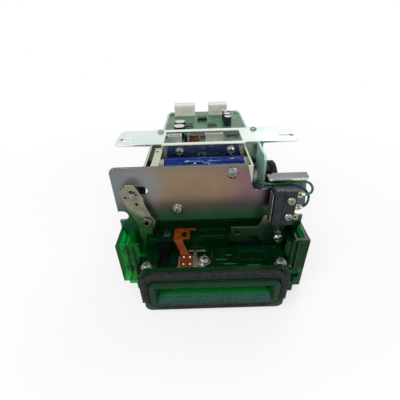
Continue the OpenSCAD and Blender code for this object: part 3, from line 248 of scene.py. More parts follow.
# %% Group helpers
def new_group(name, inputs, outputs):
    """An empty group and its two ends, with inputs of (name, kind, value) and outputs of (name, kind)."""
    group = bpy.data.node_groups.new(name, "ShaderNodeTree")
    for key, kind, value in inputs:
        socket = group.interface.new_socket(key, in_out="INPUT", socket_type="NodeSocket" + kind)
        socket.default_value = value
    for key, kind in outputs:
        group.interface.new_socket(key, in_out="OUTPUT", socket_type="NodeSocket" + kind)
    return group, group.nodes.new("NodeGroupInput").outputs, group.nodes.new("NodeGroupOutput")


def place(tree, group, **inputs):
    """The outputs of a copy of a shader group that has its own input values."""
    return add(tree, "Group", {"node_tree": group}, **inputs).outputs


def mix_colour(tree, factor, a, b):
    """Colour a where the factor is 0, colour b where it is 1."""
    return add(tree, "Mix", {"data_type": "RGBA"}, i0=factor, i6=a, i7=b).outputs[2]


def noise(tree, where, scale, detail, **more):
    """A noise field, about 0.5 in the middle of its range."""
    return add(tree, "TexNoise", Vector=where, Scale=scale, Detail=detail, **more).outputs["Fac"]


def normal_on(tree):
    """The way that a face looks, in Object coordinates."""
    return add(tree, "TexCoord").outputs["Normal"]


def axes_of(tree, vector):
    """A vector's X, Y and Z."""
    return add(tree, "SeparateXYZ", Vector=vector).outputs


print("group helpers ready")

# %% [markdown]
# Four effects turn up on many finishes here, so each is a shader group. Cloudy tint mixes two
# colours in soft patches, as plating and skin oil do. Hairlines are the fine scratches of handling.
# Worn edges could be painted by hand, but a normal that is rounded over a small radius finds them by
# itself: where it leaves the true normal, there is an edge. The same edge mask marks wear on metal and
# moulding, and paints shade along the edges of the clear plastic. Settled dust lies on what faces up.

# %% Shared shader groups
cloudy_tint, given, result = new_group(
    "cloudy tint", [("Light", "Color", (1, 1, 1, 1)), ("Dark", "Color", (0, 0, 0, 1)),
                    ("Scale", "Float", 100.0)], [("Colour", "Color"), ("Mask", "Float")])
cloud = noise(cloudy_tint, where_on(cloudy_tint), given["Scale"], 4.0, Roughness=0.55)
mask = ranged(cloudy_tint, cloud, 0.34, 0.66)
feed(cloudy_tint, result, Colour=mix_colour(cloudy_tint, mask, given["Light"], given["Dark"]), Mask=mask)

hairlines, given, result = new_group(
    "hairlines", [("Scale", "Float", 300.0), ("Amount", "Float", 1.0)], [("Mask", "Float")])
lines = 0.0
for turn, stretch in (((0.3, 0.9, 0.2), (1, 1, 0.05)), ((1.1, 0.1, 0.8), (0.06, 1, 1)),
                      ((0.5, 0.4, 1.9), (1, 0.07, 1))):
    lie = add(hairlines, "Mapping", Vector=where_on(hairlines), Rotation=turn, Scale=stretch)
    fibre = noise(hairlines, lie.outputs["Vector"], given["Scale"], 1.0, Distortion=0.2)
    lines = maths(hairlines, "MAXIMUM", ranged(hairlines, fibre, 0.70, 0.76), lines)
feed(hairlines, result, Mask=maths(hairlines, "MULTIPLY", lines, given["Amount"]))

edge_wear_and_shade, given, result = new_group(
    "edge wear and shade", [("Radius", "Float", 0.4 * MM), ("Breakup", "Float", 600.0)],
    [("Mask", "Float"), ("Normal", "Vector")])
rounded = add(edge_wear_and_shade, "Bevel", {"samples": 6}, Radius=given["Radius"]).outputs[0]
flat = add(edge_wear_and_shade, "NewGeometry").outputs["True Normal"]
edge = ranged(edge_wear_and_shade, vector_maths(edge_wear_and_shade, "DOT_PRODUCT", rounded, flat, "Value"), 0.98, 0.80)
chips = noise(edge_wear_and_shade, where_on(edge_wear_and_shade), given["Breakup"], 3.0)
feed(edge_wear_and_shade, result, Mask=maths(edge_wear_and_shade, "MULTIPLY", edge, ranged(edge_wear_and_shade, chips, 0.30, 0.60)),
     Normal=rounded)

settled_dust, given, result = new_group("settled dust", [("Scale", "Float", 900.0)], [("Mask", "Float")])
lift = ranged(settled_dust, axes_of(settled_dust, normal_on(settled_dust))["Z"], 0.6, 1.0)
grain = noise(settled_dust, where_on(settled_dust), given["Scale"], 6.0, Roughness=0.7)
specks = ranged(settled_dust, grain, 0.45, 0.75)
feed(settled_dust, result, Mask=maths(settled_dust, "MULTIPLY", lift, specks))
print("groups:", [g.name for g in bpy.data.node_groups])

# %% [markdown]
# Every finish of the object starts as a material with one Principled shader. Its colours are written
# as they look on a screen, which is easier to judge than the linear values that a shader wants. Fine
# grain is a bump, because it is far too small to be modelled.

# %% Material helpers
def new_material(name):
    """A material with one Principled shader."""
    material = bpy.data.materials.new(name)
    material.use_nodes = True
    tree = material.node_tree
    tree.nodes.clear()
    shader = add(tree, "BsdfPrincipled")
    add(tree, "OutputMaterial", Surface=shader.outputs["BSDF"])
    return material, tree, shader


def tone(r, g, b):
    """A colour written as 0 to 255 on a screen, as the linear colour that a shader wants."""
    c = np.array([r, g, b]) / 255
    linear = np.where(c <= 0.04045, c / 12.92, ((c + 0.055) / 1.055) ** 2.4)
    return (*[float(v) for v in linear], 1.0)


def bumped(tree, height, depth, rounded=None):
    """A normal that a height bends, with a depth in mm, on top of a rounded normal if there is one."""
    base = {} if rounded is None else {"Normal": rounded}
    return add(tree, "Bump", Strength=1.0, Distance=depth * MM, Height=height, **base).outputs["Normal"]


print("material helpers ready")

# %% [markdown]
# Most parts are plated or plain steel. Each could have a tree of its own, but they differ only in
# colour and polish, so one function builds them all. The colour is cloudy, the roughness follows the
# same clouds, hairlines roughen and scratch it, and the worn edges are paler. The rounded normal of the
# edge group gives each sheet edge the thin bright line that a real edge has.

# %% Metals
def metal(name, light, dark, edge, rough, cloud=150.0, scratch=0.5, bare=1.0):
    """Metal with cloudy colour from light to dark, pale worn edges and a roughness range.

    A bare share below 1 is a dull passivated coat that also scatters light.
    """
    material, tree, shader = new_material(name)
    clouds = place(tree, cloudy_tint, Light=tone(*light), Dark=tone(*dark), Scale=cloud)
    edges = place(tree, edge_wear_and_shade, Radius=0.3 * MM, Breakup=320.0)
    lines = place(tree, hairlines, Scale=700.0, Amount=scratch)
    rub = maths(tree, "MULTIPLY", clouds["Mask"], rough[1] - rough[0])
    rub = maths(tree, "ADD", rub, maths(tree, "MULTIPLY", lines["Mask"], 0.15))
    tooth = noise(tree, where_on(tree), 2500.0, 3.0)
    feed(tree, shader, Metallic=bare,
         Base_Color=mix_colour(tree, edges["Mask"], clouds["Colour"], tone(*edge)),
         Roughness=maths(tree, "ADD", rub, rough[0]),
         Normal=bumped(tree, maths(tree, "SUBTRACT", tooth, lines["Mask"]), 0.02, edges["Normal"]))
    return material


zinc_bright = metal("bright zinc", (222, 232, 226), (212, 224, 217), (246, 250, 246), (0.20, 0.30), 60.0)
zinc_straw = metal("straw zinc", (188, 190, 168), (178, 183, 164), (222, 224, 210), (0.17, 0.23), 60.0)
zinc_aqua = metal("aqua zinc", (166, 208, 196), (150, 194, 182), (222, 236, 230), (0.24, 0.32), 50.0,
                  bare=0.3)
bright_steel = metal("bright steel", (150, 154, 145), (112, 117, 108), (214, 219, 212), (0.18, 0.32))
dull_steel = metal("dull steel", (142, 138, 118), (122, 119, 102), (196, 192, 172), (0.26, 0.38), 220.0)
spring_steel = metal("spring steel", (168, 164, 152), (144, 141, 131), (208, 206, 196), (0.30, 0.45))
tinned_brass = metal("tinned brass", (176, 172, 146), (158, 146, 108), (216, 212, 190), (0.22, 0.38), 400.0)
sintered_bronze = metal("sintered bronze", (160, 124, 72), (126, 94, 54), (196, 164, 112), (0.42, 0.60))
plated_can = metal("plated can", (160, 163, 164), (140, 143, 144), (206, 208, 208), (0.22, 0.36), 80.0)
solder = metal("solder", (196, 198, 196), (170, 172, 170), (226, 228, 226), (0.16, 0.30), 900.0, 0.1)
print("finishes so far:", len(bpy.data.materials))

# %% [markdown]
# The steel parts over the deck stand in green light that comes up through the plastic, and a few small
# hollows lie in deep shade. Stronger bounced light could do that, but it is noisy in a small render. So
# these finishes mix in painted light and painted shade by place: along one direction, or round an axis.
# It goes with its part when the part moves.

# %% Painted light and shade by place
TO_RIGHT, TO_LEFT, TO_BACK, TO_FRONT, TO_TOP = (1, 0, 0), (-1, 0, 0), (0, 1, 0), (0, -1, 0), (0, 0, 1)


def shader_of(material):
    """A material's tree and its Principled shader."""
    return material.node_tree, material.node_tree.nodes["Principled BSDF"]


def paint_light_by(material, mask, tint):
    """Mixes painted light and shade into the colour so far, by a mask."""
    tree, shader = shader_of(material)
    before = shader.inputs["Base Color"].links[0].from_socket
    feed(tree, shader, Base_Color=mix_colour(tree, mask, before, tone(*tint)))


def paint_light_zone(material, way, start, full, amount, tint, dull=0.0, side=None):
    """Mixes in painted light and shade where the position along a way runs from one level to another, in mm.

    A metal with a dull share also scatters light there. A side keeps the tint to faces that look that way.
    """
    tree, shader = shader_of(material)
    along = vector_maths(tree, "DOT_PRODUCT", where_on(tree), way, "Value")
    mask = ranged(tree, along, start * MM, full * MM, 0.0, amount)
    if side:
        turned_to = vector_maths(tree, "DOT_PRODUCT", normal_on(tree), side, "Value")
        mask = maths(tree, "MULTIPLY", mask, ranged(tree, turned_to, 0.3, 0.7))
    paint_light_by(material, mask, tint)
    if dull:
        bare = shader.inputs["Metallic"]
        before = bare.links[0].from_socket if bare.is_linked else bare.default_value
        feed(tree, shader, Metallic=maths(tree, "SUBTRACT", before, maths(tree, "MULTIPLY", mask, dull)))


def paint_shade_round(material, middle, start, full, tint):
    """Mixes in painted shade near a Y axis through a point, by the root of the squared distances in mm."""
    tree, _ = shader_of(material)
    off = vector_maths(tree, "SUBTRACT", where_on(tree), tuple(middle))
    flat = vector_maths(tree, "MULTIPLY", off, (1, 0, 1))
    reach = vector_maths(tree, "LENGTH", flat, out="Value")
    paint_light_by(material, ranged(tree, reach, start * MM, full * MM), tint)


def set_shine(material, level):
    """The strength of the plain surface shine, where 0.5 is that of the material's index."""
    feed(*shader_of(material), Specular_IOR_Level=level)


lever_steel = metal("lever steel", (140, 137, 118), (120, 118, 102), (196, 192, 172), (0.26, 0.38), 220.0)
# The lever's lower front is painted green and less metallic: a painted reflection of the green plastic below.
paint_light_zone(lever_steel, (0.8, 0, 1), 19.0, 14.5, 0.92, (16, 84, 30), 0.8, TO_FRONT)
feeler_steel = metal("feeler steel", (128, 128, 110), (108, 108, 94), (178, 178, 160), (0.26, 0.38), 220.0)
# Below 47 mm the feeler's face is painted dark green, painted light through the green plastic, and it is
# painted darker towards its lower right, painted shade.
paint_light_zone(feeler_steel, TO_TOP, 47.0, 39.0, 0.96, (14, 44, 25), 0.92, TO_FRONT)
paint_light_zone(feeler_steel, (1, 0, -0.3), 15.0, 20.0, 0.80, (6, 22, 13), side=TO_FRONT)
set_shine(feeler_steel, 0.15)
deck_steel = metal("deck screw steel", (140, 144, 134), (102, 107, 98), (206, 212, 204), (0.16, 0.28))
# The screw head in the shelf, above 34.2 mm, is painted dark green: painted light through the plastic round
# it.
paint_light_zone(deck_steel, TO_TOP, 34.2, 34.8, 0.97, (14, 48, 27), 0.9)
set_shine(deck_steel, 0.1)
stud_steel = metal("stud steel", (112, 108, 103), (92, 89, 85), (190, 188, 182), (0.22, 0.34), 220.0)
stud_low, stud_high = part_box("lever_stud")
# A near-black ring is painted in the stud's hollow: painted shade.
paint_shade_round(stud_steel, (stud_low + stud_high) / 2, 1.3, 1.1, (10, 12, 11))
clip_steel = metal("clip steel", (142, 138, 118), (122, 119, 102), (196, 192, 172), (0.26, 0.38), 220.0)
# All of the clip behind the plate is painted near black: painted shade seen through the slot.
paint_light_zone(clip_steel, TO_BACK, 0.0, 0.5, 1.0, (16, 17, 18), 1.0)
print("finishes so far:", len(bpy.data.materials))

# %% [markdown]
# The front plate has a passivated zinc coat, whose thin film shifts through teal, mauve, straw and
# rose across the sheet. The shader's own thin film could do it, but its colours are harder to place
# than those of a colour ramp along the plate. Slow noise bends the ramp, because the film's thickness
# drifts with the way the sheet hung in its bath.

# %% Passivated plate
FILM = [(0.00, (88, 122, 112)), (0.06, (112, 126, 128)), (0.14, (118, 108, 114)), (0.24, (136, 113, 103)),
        (0.44, (140, 120, 96)), (0.60, (138, 112, 98)), (0.72, (124, 98, 104)), (0.84, (94, 98, 110)),
        (1.00, (84, 112, 108))]
FILM_HALF, FILM_LEVEL, FILM_LEAN, FILM_DRIFT = 52.0 * MM, 50.0 * MM, 2.2, 0.55
LEVER_HEAD, LEVER_PATCH = (-36.0 * MM, 0.0, 62.0 * MM), (16.0 * MM, 6.0 * MM)
TOP_BAND = (68.0 * MM, 72.4 * MM)


def ramp(tree, value, stops):
    """A colour ramp with stops of (place, screen colour)."""
    node = add(tree, "ValToRGB", Fac=value)
    while len(node.color_ramp.elements) < len(stops):
        node.color_ramp.elements.new(0.5)
    for element, (at, colour) in zip(node.color_ramp.elements, stops):
        element.position, element.color = at, tone(*colour)
    return node.outputs["Color"]


def passivated():
    """Metal whose colour follows a bent ramp across the plate, with hairlines and pale edges."""
    material, tree, shader = new_material("passivated zinc")
    where = where_on(tree)
    axes = axes_of(tree, where)
    drift = noise(tree, where, 26.0, 2.0, Distortion=0.5)
    along = add(tree, "MapRange", {"clamp": False}, Value=axes["X"], From_Min=-FILM_HALF, From_Max=FILM_HALF)
    bend = maths(tree, "MULTIPLY", maths(tree, "SUBTRACT", drift, 0.5), FILM_DRIFT)
    lean = maths(tree, "MULTIPLY", maths(tree, "SUBTRACT", axes["Z"], FILM_LEVEL), FILM_LEAN)
    film = maths(tree, "ADD", maths(tree, "ADD", along.outputs["Result"], bend), lean)
    reach = vector_maths(tree, "DISTANCE", where, LEVER_HEAD, "Value")
    by_lever = ranged(tree, reach, *LEVER_PATCH, 0.0, 0.7)
    level = ranged(tree, axes_of(tree, normal_on(tree))["Z"], 0.8, 0.95)
    edges = place(tree, edge_wear_and_shade, Radius=0.35 * MM, Breakup=260.0)
    lines = place(tree, hairlines, Scale=420.0, Amount=1.0)
    colour = mix_colour(tree, by_lever, ramp(tree, film, FILM), tone(108, 122, 122))
    colour = mix_colour(tree, ranged(tree, axes["Z"], *TOP_BAND, 0.0, 0.6), colour, tone(112, 116, 108))
    # Faces that look up are painted a darker grey: painted shade.
    colour = mix_colour(tree, level, colour, tone(76, 78, 82))
    colour = mix_colour(tree, maths(tree, "MULTIPLY", edges["Mask"], 0.6), colour, tone(170, 174, 164))
    smear = noise(tree, where, 120.0, 5.0)
    tooth = noise(tree, where, 1800.0, 2.0)
    feed(tree, shader, Base_Color=colour, Metallic=maths(tree, "SUBTRACT", 1.0, by_lever),
         Roughness=ranged(tree, smear, 0.3, 0.7, 0.28, 0.38),
         Normal=bumped(tree, maths(tree, "SUBTRACT", tooth, lines["Mask"]), 0.012, edges["Normal"]))
    return material


zinc_film = passivated()
# Below about 56 mm the plate's front is painted darker, and below about 51 mm green: painted reflections of
# the deck and the green bezel in front of it.
paint_light_zone(zinc_film, TO_TOP, 56.0, 49.0, 0.65, (80, 84, 82), side=TO_FRONT)
paint_light_zone(zinc_film, TO_TOP, 51.0, 43.0, 0.90, (18, 80, 46), 0.70, side=TO_FRONT)
# Front faces more than 3 mm ahead of the plate are painted pale: a painted highlight.
paint_light_zone(zinc_film, TO_FRONT, 3.0, 4.0, 0.85, (216, 218, 200), side=TO_FRONT)
print("film ramp made on", zinc_film.name)

# %% [markdown]
# The bezel is moulded in clear green plastic. A plain Alpha below 1 would look like thin film, so it is
# real glass to the renderer: light bends in it, leaves tinted, and the black parts behind it make the
# middle dark. A faint ripple and smears keep its faces from being mirror flat. Painted shade darkens its
# edges and, by place, what stands in the shade, and a painted glow lights the floor of the throat.

# %% Clear green plastic
PLASTIC_INDEX = 1.22
WING_HOLE = (46.0 * MM, -14.3 * MM, 10.5 * MM)


def clear_green(name, light, dark, clear, rough, ripple, ramp_grain=0.0, edge_shade=0.5):
    """Tinted plastic, part clear and part milky, with a cloudy tint, a slight ripple and edges in painted
    shade.

    The ramp grain is a leather-like etch on faces that lean up and forward, as the card ramp does, with a
    pale blue sheen painted into it as painted glints.
    """
    material, tree, shader = new_material(name)
    colour = place(tree, cloudy_tint, Light=tone(*light), Dark=tone(*dark), Scale=90.0)["Colour"]
    edges = place(tree, edge_wear_and_shade, Radius=0.4 * MM, Breakup=6.0)
    where = where_on(tree)
    smear = noise(tree, where, 240.0, 5.0)
    height = maths(tree, "MULTIPLY", noise(tree, where, 260.0, 2.0), ripple)
    if ramp_grain:
        facing = axes_of(tree, normal_on(tree))
        leans = maths(tree, "MULTIPLY", ranged(tree, facing["Z"], 0.3, 0.5),
                      ranged(tree, facing["Y"], -0.2, -0.4))
        etch = add(tree, "TexVoronoi", {"feature": "SMOOTH_F1"}, Vector=where, Scale=1300.0)
        etch_with_sheen = maths(tree, "MULTIPLY", leans, etch.outputs["Distance"])
        height = maths(tree, "ADD", height, maths(tree, "MULTIPLY", etch_with_sheen, ramp_grain))
        # A pale blue painted sheen follows the etch: painted glints.
        colour = mix_colour(tree, maths(tree, "MULTIPLY", etch_with_sheen, 0.4), colour, tone(104, 138, 168))
    # The edge mask paints the edges dark green: painted shade.
    lines = maths(tree, "MULTIPLY", edges["Mask"], edge_shade)
    feed(tree, shader, Transmission_Weight=clear, IOR=PLASTIC_INDEX, Specular_IOR_Level=0.35,
         Base_Color=mix_colour(tree, lines, colour, tone(3, 30, 15)),
         Roughness=ranged(tree, smear, 0.35, 0.7, *rough), Normal=bumped(tree, height, 1.0, edges["Normal"]))
    return material


green_wings = clear_green("clear green wings", (12, 200, 86), (10, 188, 78), 0.86, (0.03, 0.10), 0.012,
                          edge_shade=0.7)
# Painted shade: the right wing darker, a dark band on the left wing's outer side, a deeper green from the
# left wing inward, and dark tops on the right wing.
paint_light_zone(green_wings, TO_RIGHT, 30.0, 38.0, 0.85, (10, 80, 42))
paint_light_zone(green_wings, TO_LEFT, 48.2, 49.0, 0.45, (6, 58, 30))
paint_light_zone(green_wings, TO_RIGHT, -46.0, -40.0, 0.45, (6, 110, 44))
paint_light_zone(green_wings, TO_RIGHT, 34.0, 38.0, 0.85, (5, 40, 22), side=TO_TOP)
# A dark ring is painted round the wing hole: painted shade.
paint_shade_round(green_wings, WING_HOLE, 2.7, 2.1, (4, 22, 12))
set_shine(green_wings, 0.12)
green_deck = clear_green("clear green deck", (10, 100, 50), (6, 80, 38), 0.90, (0.06, 0.16), 0.05)
green_mouth = clear_green("clear green mouth", (29, 82, 51), (24, 71, 43), 0.50, (0.26, 0.38), 0.02, 0.25,
                          edge_shade=0.3)
# The throat floor is painted bright green: a painted glow for light coming up through it.
paint_light_zone(green_mouth, TO_BACK, -29.5, -29.2, 1.0, (36, 158, 72), side=TO_TOP)
# The flange top and the upper front of the lip are painted darker: painted shade.
paint_light_zone(green_mouth, TO_TOP, 28.4, 29.4, 0.94, (8, 42, 22))
paint_light_zone(green_mouth, TO_TOP, 22.6, 24.6, 0.45, (8, 44, 24), side=TO_FRONT)
print("clear plastics:", green_wings.name, green_deck.name, green_mouth.name)

# %% [markdown]
# The rest are plastics, rubber and films. They differ mostly in their surface: foam is rough and dull,
# a moulded case is fine, and a shrink sleeve is glossy. So one function makes them, with a cloudy
# colour, a pitted surface at the right grain size, rubbed edges and a film of dust on what faces up.

# %% Plastics and rubbers
DUST = tone(170, 166, 158)


def moulded(name, light, dark, rough, grain_scale, grain_depth, dust=0.0, cloud=200.0, coat=0.0, gloss=0.35):
    """Opaque plastic or rubber with cloudy colour, surface grain, paler edges and settled dust."""
    material, tree, shader = new_material(name)
    pale = (*[min(1.0, 1.6 * c + 0.02) for c in tone(*light)[:3]], 1.0)
    clouds = place(tree, cloudy_tint, Light=tone(*light), Dark=tone(*dark), Scale=cloud)
    edges = place(tree, edge_wear_and_shade, Radius=0.25 * MM, Breakup=700.0)
    film = place(tree, settled_dust, Scale=900.0)
    colour = mix_colour(tree, maths(tree, "MULTIPLY", edges["Mask"], 0.5), clouds["Colour"], pale)
    rub = maths(tree, "MULTIPLY", clouds["Mask"], rough[1] - rough[0])
    grain = noise(tree, where_on(tree), grain_scale, 4.0, Roughness=0.6)
    feed(tree, shader, Coat_Weight=coat, Specular_IOR_Level=gloss,
         Base_Color=mix_colour(tree, maths(tree, "MULTIPLY", film["Mask"], dust), colour, DUST),
         Roughness=maths(tree, "ADD", rub, rough[0]),
         Normal=bumped(tree, grain, grain_depth, edges["Normal"]))
    return material


gasket_foam = moulded("gasket foam", (38, 39, 40), (28, 29, 30), (0.80, 0.92), 3200.0, 0.10, 0.06, 500.0,
                      gloss=0.2)
sensor_black = moulded("sensor black", (8, 10, 10), (5, 6, 6), (0.50, 0.64), 2600.0, 0.02, gloss=0.08)
black_moulding = moulded("black moulding", (22, 26, 27), (14, 17, 18), (0.42, 0.56), 2600.0, 0.02, 0.08)
switch_case = moulded("switch case", (38, 46, 50), (29, 36, 40), (0.36, 0.50), 2200.0, 0.02, 0.04, gloss=0.17)
roller_rubber = moulded("roller rubber", (50, 50, 52), (36, 36, 38), (0.65, 0.8), 2800.0, 0.05, 0.05)
nylon_white = moulded("white nylon", (218, 217, 208), (200, 198, 187), (0.38, 0.5), 1800.0, 0.02, 0.10)
sleeve_blue = moulded("blue shrink sleeve", (5, 40, 116), (3, 27, 90), (0.14, 0.24), 700.0, 0.03, 0.0, 160.0,
                      0.04, 0.05)
wire_green = moulded("green insulation", (24, 106, 50), (16, 84, 38), (0.35, 0.5), 1500.0, 0.02, 0.04)
wire_navy = moulded("navy insulation", (30, 40, 84), (20, 27, 62), (0.35, 0.5), 1500.0, 0.02, 0.04)
belt_rubber = moulded("belt rubber", (30, 30, 32), (22, 22, 24), (0.55, 0.7), 2400.0, 0.04, 0.04)
print("finishes so far:", len(bpy.data.materials))

# %% [markdown]
# The thumb wheel on the motor shaft is black, and its rim is ribbed so that a finger can turn the
# rollers by hand. The ribs could be cut into the solid, but they are so low that a bump is enough. It
# takes the angle about the shaft from the position, with the shaft's middle read from the box of the
# wheel.

# %% Ribbed thumb wheel
RIB_COUNT, RIB_BAND, RIB_FADE = 48.0, 0.5 * MM, 0.2 * MM


def ribbed_black(middle_y, middle_z, ribbed_from):
    """Black moulding whose height is a sine of the angle about the shaft, beyond one radius."""
    material, tree, shader = new_material("ribbed black")
    clouds = place(tree, cloudy_tint, Light=tone(22, 27, 30), Dark=tone(15, 19, 21), Scale=200.0)
    edges = place(tree, edge_wear_and_shade, Radius=0.3 * MM, Breakup=700.0)
    worn = maths(tree, "MULTIPLY", edges["Mask"], 0.4)
    axes = axes_of(tree, where_on(tree))
    y = maths(tree, "SUBTRACT", axes["Y"], middle_y)
    z = maths(tree, "SUBTRACT", axes["Z"], middle_z)
    turn = maths(tree, "ARCTAN2", z, y)
    squares = maths(tree, "ADD", maths(tree, "MULTIPLY", y, y), maths(tree, "MULTIPLY", z, z))
    reach = maths(tree, "SQRT", squares)
    wave = maths(tree, "SINE", maths(tree, "MULTIPLY", turn, RIB_COUNT))
    ribs = maths(tree, "MULTIPLY", wave, ranged(tree, reach, ribbed_from, ribbed_from + RIB_FADE))
    feed(tree, shader, Base_Color=mix_colour(tree, worn, clouds["Colour"], tone(92, 96, 98)),
         Roughness=ranged(tree, clouds["Mask"], 0.0, 1.0, 0.42, 0.56), Specular_IOR_Level=0.12,
         Normal=bumped(tree, ribs, 0.18, edges["Normal"]))
    return material


low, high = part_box("feed_knob")
motor_axis = ((low.y + high.y) / 2, (low.z + high.z) / 2)
wheel_radius = (high.z - low.z) / 2
knob_black = ribbed_black(*motor_axis, wheel_radius - RIB_BAND)
print("thumb wheel radius in mm:", round(wheel_radius / MM, 2))

# %% [markdown]
# The control board is a green solder mask over copper. Its tracks could be an image, but a pattern
# stays sharp up close. Bands of fine tracks run along one axis or the other in patches, as routed buses
# do, and they are slightly paler and raised under the mask.

# %% Board finish
def solder_mask():
    """Board green with raised track bands: stripes along X or Y chosen by large cells."""
    material, tree, shader = new_material("solder mask")
    where = where_on(tree)
    cells = add(tree, "TexVoronoi", {"distance": "MANHATTAN"}, Vector=where, Scale=95.0, Randomness=0.8)
    pick = add(tree, "SeparateColor", Color=cells.outputs["Color"]).outputs
    bands = []
    for axis in ("X", "Y"):
        wave = add(tree, "TexWave", {"bands_direction": axis}, Vector=where, Scale=260.0, Distortion=0.0)
        bands.append(ranged(tree, wave.outputs["Fac"], 0.62, 0.72))
    turned_to = ranged(tree, pick["Red"], 0.49, 0.51)
    track = add(tree, "Mix", {"data_type": "FLOAT"}, i0=turned_to, i2=bands[0], i3=bands[1]).outputs[0]
    track = maths(tree, "MULTIPLY", track, ranged(tree, pick["Green"], 0.30, 0.34))
    colour = mix_colour(tree, track, tone(20, 78, 46), tone(46, 122, 72))
    dusty = maths(tree, "MULTIPLY", place(tree, settled_dust, Scale=700.0)["Mask"], 0.18)
    smear = noise(tree, where, 300.0, 4.0)
    feed(tree, shader, Base_Color=mix_colour(tree, dusty, colour, DUST),
         Roughness=ranged(tree, smear, 0.3, 0.7, 0.24, 0.42), Normal=bumped(tree, track, 0.04))
    return material


board_mask = solder_mask()
print("board finish:", board_mask.name)

# %% [markdown]
# Each CAD node keeps its shape and takes one of the finishes. They could be given out one by one, but a
# table reads like a parts list: what is plated sheet, what is bright hardware, what is dull stamped
# steel and what is moulded.

# %% Dress the CAD nodes
PARTS_LIST = [
    (zinc_film, "front_plate"),
    (zinc_bright, "top_bracket"),
    (zinc_straw, "left_side_plate", "base_plate", "rear_plate", "solenoid_bracket"),
    (zinc_aqua, "right_side_plate"),
    (deck_steel, "deck_screws"),
    (lever_steel, "shutter_lever"),
    (feeler_steel, "feeler_lever"),
    (bright_steel, "plate_screws", "switch_screws", "feeler_screw", "chassis_screws", "link_pin",
     "motor_shaft", "front_drive_shaft", "mid_drive_shaft", "rear_drive_shaft", "solenoid_plunger",
     "shutter"),
    (stud_steel, "lever_stud"),
    (clip_steel, "pin_clip"),
    (dull_steel, "prehead", "main_head"),
    (spring_steel, "prehead_spring", "main_head_spring", "switch_leaf", "switch_standoffs"),
    (tinned_brass, "switch_terminals"),
    (sintered_bronze, "shaft_bushes"),
    (plated_can, "motor_can", "solenoid_body"),
    (green_wings, "bezel_housing"),
    (green_mouth, "bezel_front"),
    (green_deck, "bezel_deck"),
    (sensor_black, "entry_sensors"),
    (black_moulding, "lower_guide", "upper_guide", "board_components", "front_pulley", "mid_pulleys",
     "rear_pulley"),
    (knob_black, "feed_knob"),
    (switch_case, "microswitch"),
    (roller_rubber, "front_drive_rollers", "mid_drive_rollers", "rear_drive_rollers"),
    (nylon_white, "board_connectors", "front_pinch", "mid_pinch", "rear_pinch"),
    (board_mask, "control_board"),
]


def dress(material, *names):
    """Gives the named CAD nodes one material."""
    for name in names:
        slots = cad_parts[name].data.materials
        slots.clear()
        slots.append(material)
    return len(names)


print("CAD nodes dressed:", sum(dress(*row) for row in PARTS_LIST), "of", len(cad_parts))

# %% [markdown]
# New pieces could be modelled by hand, but a formula keeps them to the CAD's sizes. So they are surfaces
# on a grid: an array of points with rows along one parameter and columns along the other. This helper
# makes one mesh of such arrays, turns each closed one so that its faces look outward, caps it where
# asked, and keeps both parameters as a UV map for patterns that follow it.

# %% Grid surfaces
def grid_quads(rows, cols, loop_rows, loop_cols):
    """Corner numbers of the quads of a grid, and the two parameters at each corner."""
    r = np.arange(rows if loop_rows else rows - 1)[:, None]
    c = np.arange(cols if loop_cols else cols - 1)[None, :]
    step = [(0, 0), (0, 1), (1, 1), (1, 0)]
    corner = [((r + a) % rows) * cols + (c + b) % cols for a, b in step]
    uv = [np.stack(np.broadcast_arrays((r + a) / rows, (c + b) / cols), -1) for a, b in step]
    return np.stack(corner, -1).reshape(-1, 4), np.stack(uv, -2).reshape(-1, 4, 2)


def outward(points, loop_rows, loop_cols):
    """The grid, with its rows turned round if its quads enclose a negative volume about their middle."""
    quads, _ = grid_quads(*points.shape[:2], loop_rows, loop_cols)
    p = points.reshape(-1, 3) - points.reshape(-1, 3).mean(0)
    a, b, c, d = (p[quads[:, k]] for k in range(4))
    volume = np.einsum("ij,ij->", a, np.cross(b, c)) + np.einsum("ij,ij->", a, np.cross(c, d))
    return points if volume > 0 else points[::-1]


def rods(grids):
    """Surfaces that are closed round their columns and capped at both ends."""
    return [(grid, False, True, True) for grid in grids]


def ring(grid):
    """One surface that is closed both ways."""
    return [(grid, True, True, False)]


def piece(name, surfaces, material, body, replaces=()):
    """One mesh from several grids. Each is (points, rows closed, columns closed, ends capped).

    An open sheet keeps the side it faces. A piece without a body is attached to none.
    """
    points, faces, uvs, first = [], [], [], 0
    for grid, loop_rows, loop_cols, capped in surfaces:
        if loop_rows or capped:
            grid = outward(grid, loop_rows, loop_cols)
        rows, cols = grid.shape[:2]
        quads, uv = grid_quads(rows, cols, loop_rows, loop_cols)
        points.append(grid.reshape(-1, 3))
        faces += (quads + first).tolist()
        uvs.append(uv.reshape(-1, 2))
        if capped:
            faces += [(np.arange(cols)[::-1] + first).tolist(),
                      (np.arange(cols) + first + (rows - 1) * cols).tolist()]
            uvs.append(np.zeros((2 * cols, 2)))
        first += rows * cols
    mesh = bpy.data.meshes.new(name)
    mesh.from_pydata(np.concatenate(points).tolist(), [], faces)
    layer = mesh.uv_layers.new(name="along")
    layer.data.foreach_set("uv", np.concatenate(uvs).astype(np.float32).ravel())
    mesh.polygons.foreach_set("use_smooth", np.ones(len(mesh.polygons), bool))
    mesh.materials.append(material)
    mesh.update()
    made = bpy.data.objects.new(name, mesh)
    scene.collection.objects.link(made)
    if body:
        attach(made, body)
    if replaces:
        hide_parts(*replaces)
    print(name, "faces:", len(faces))
    return made


print("grid helpers ready")

# %% [markdown]
# A foam gasket lies on the flange round the mouth, so that the bezel seals against the outer panel. A
# curve with a bevel could make it, if it were equally wide all round. Its inner and outer outlines are
# round-cornered rectangles with different middles, so a soft section is carried round between them:
# flat at the back and crowned at the front.

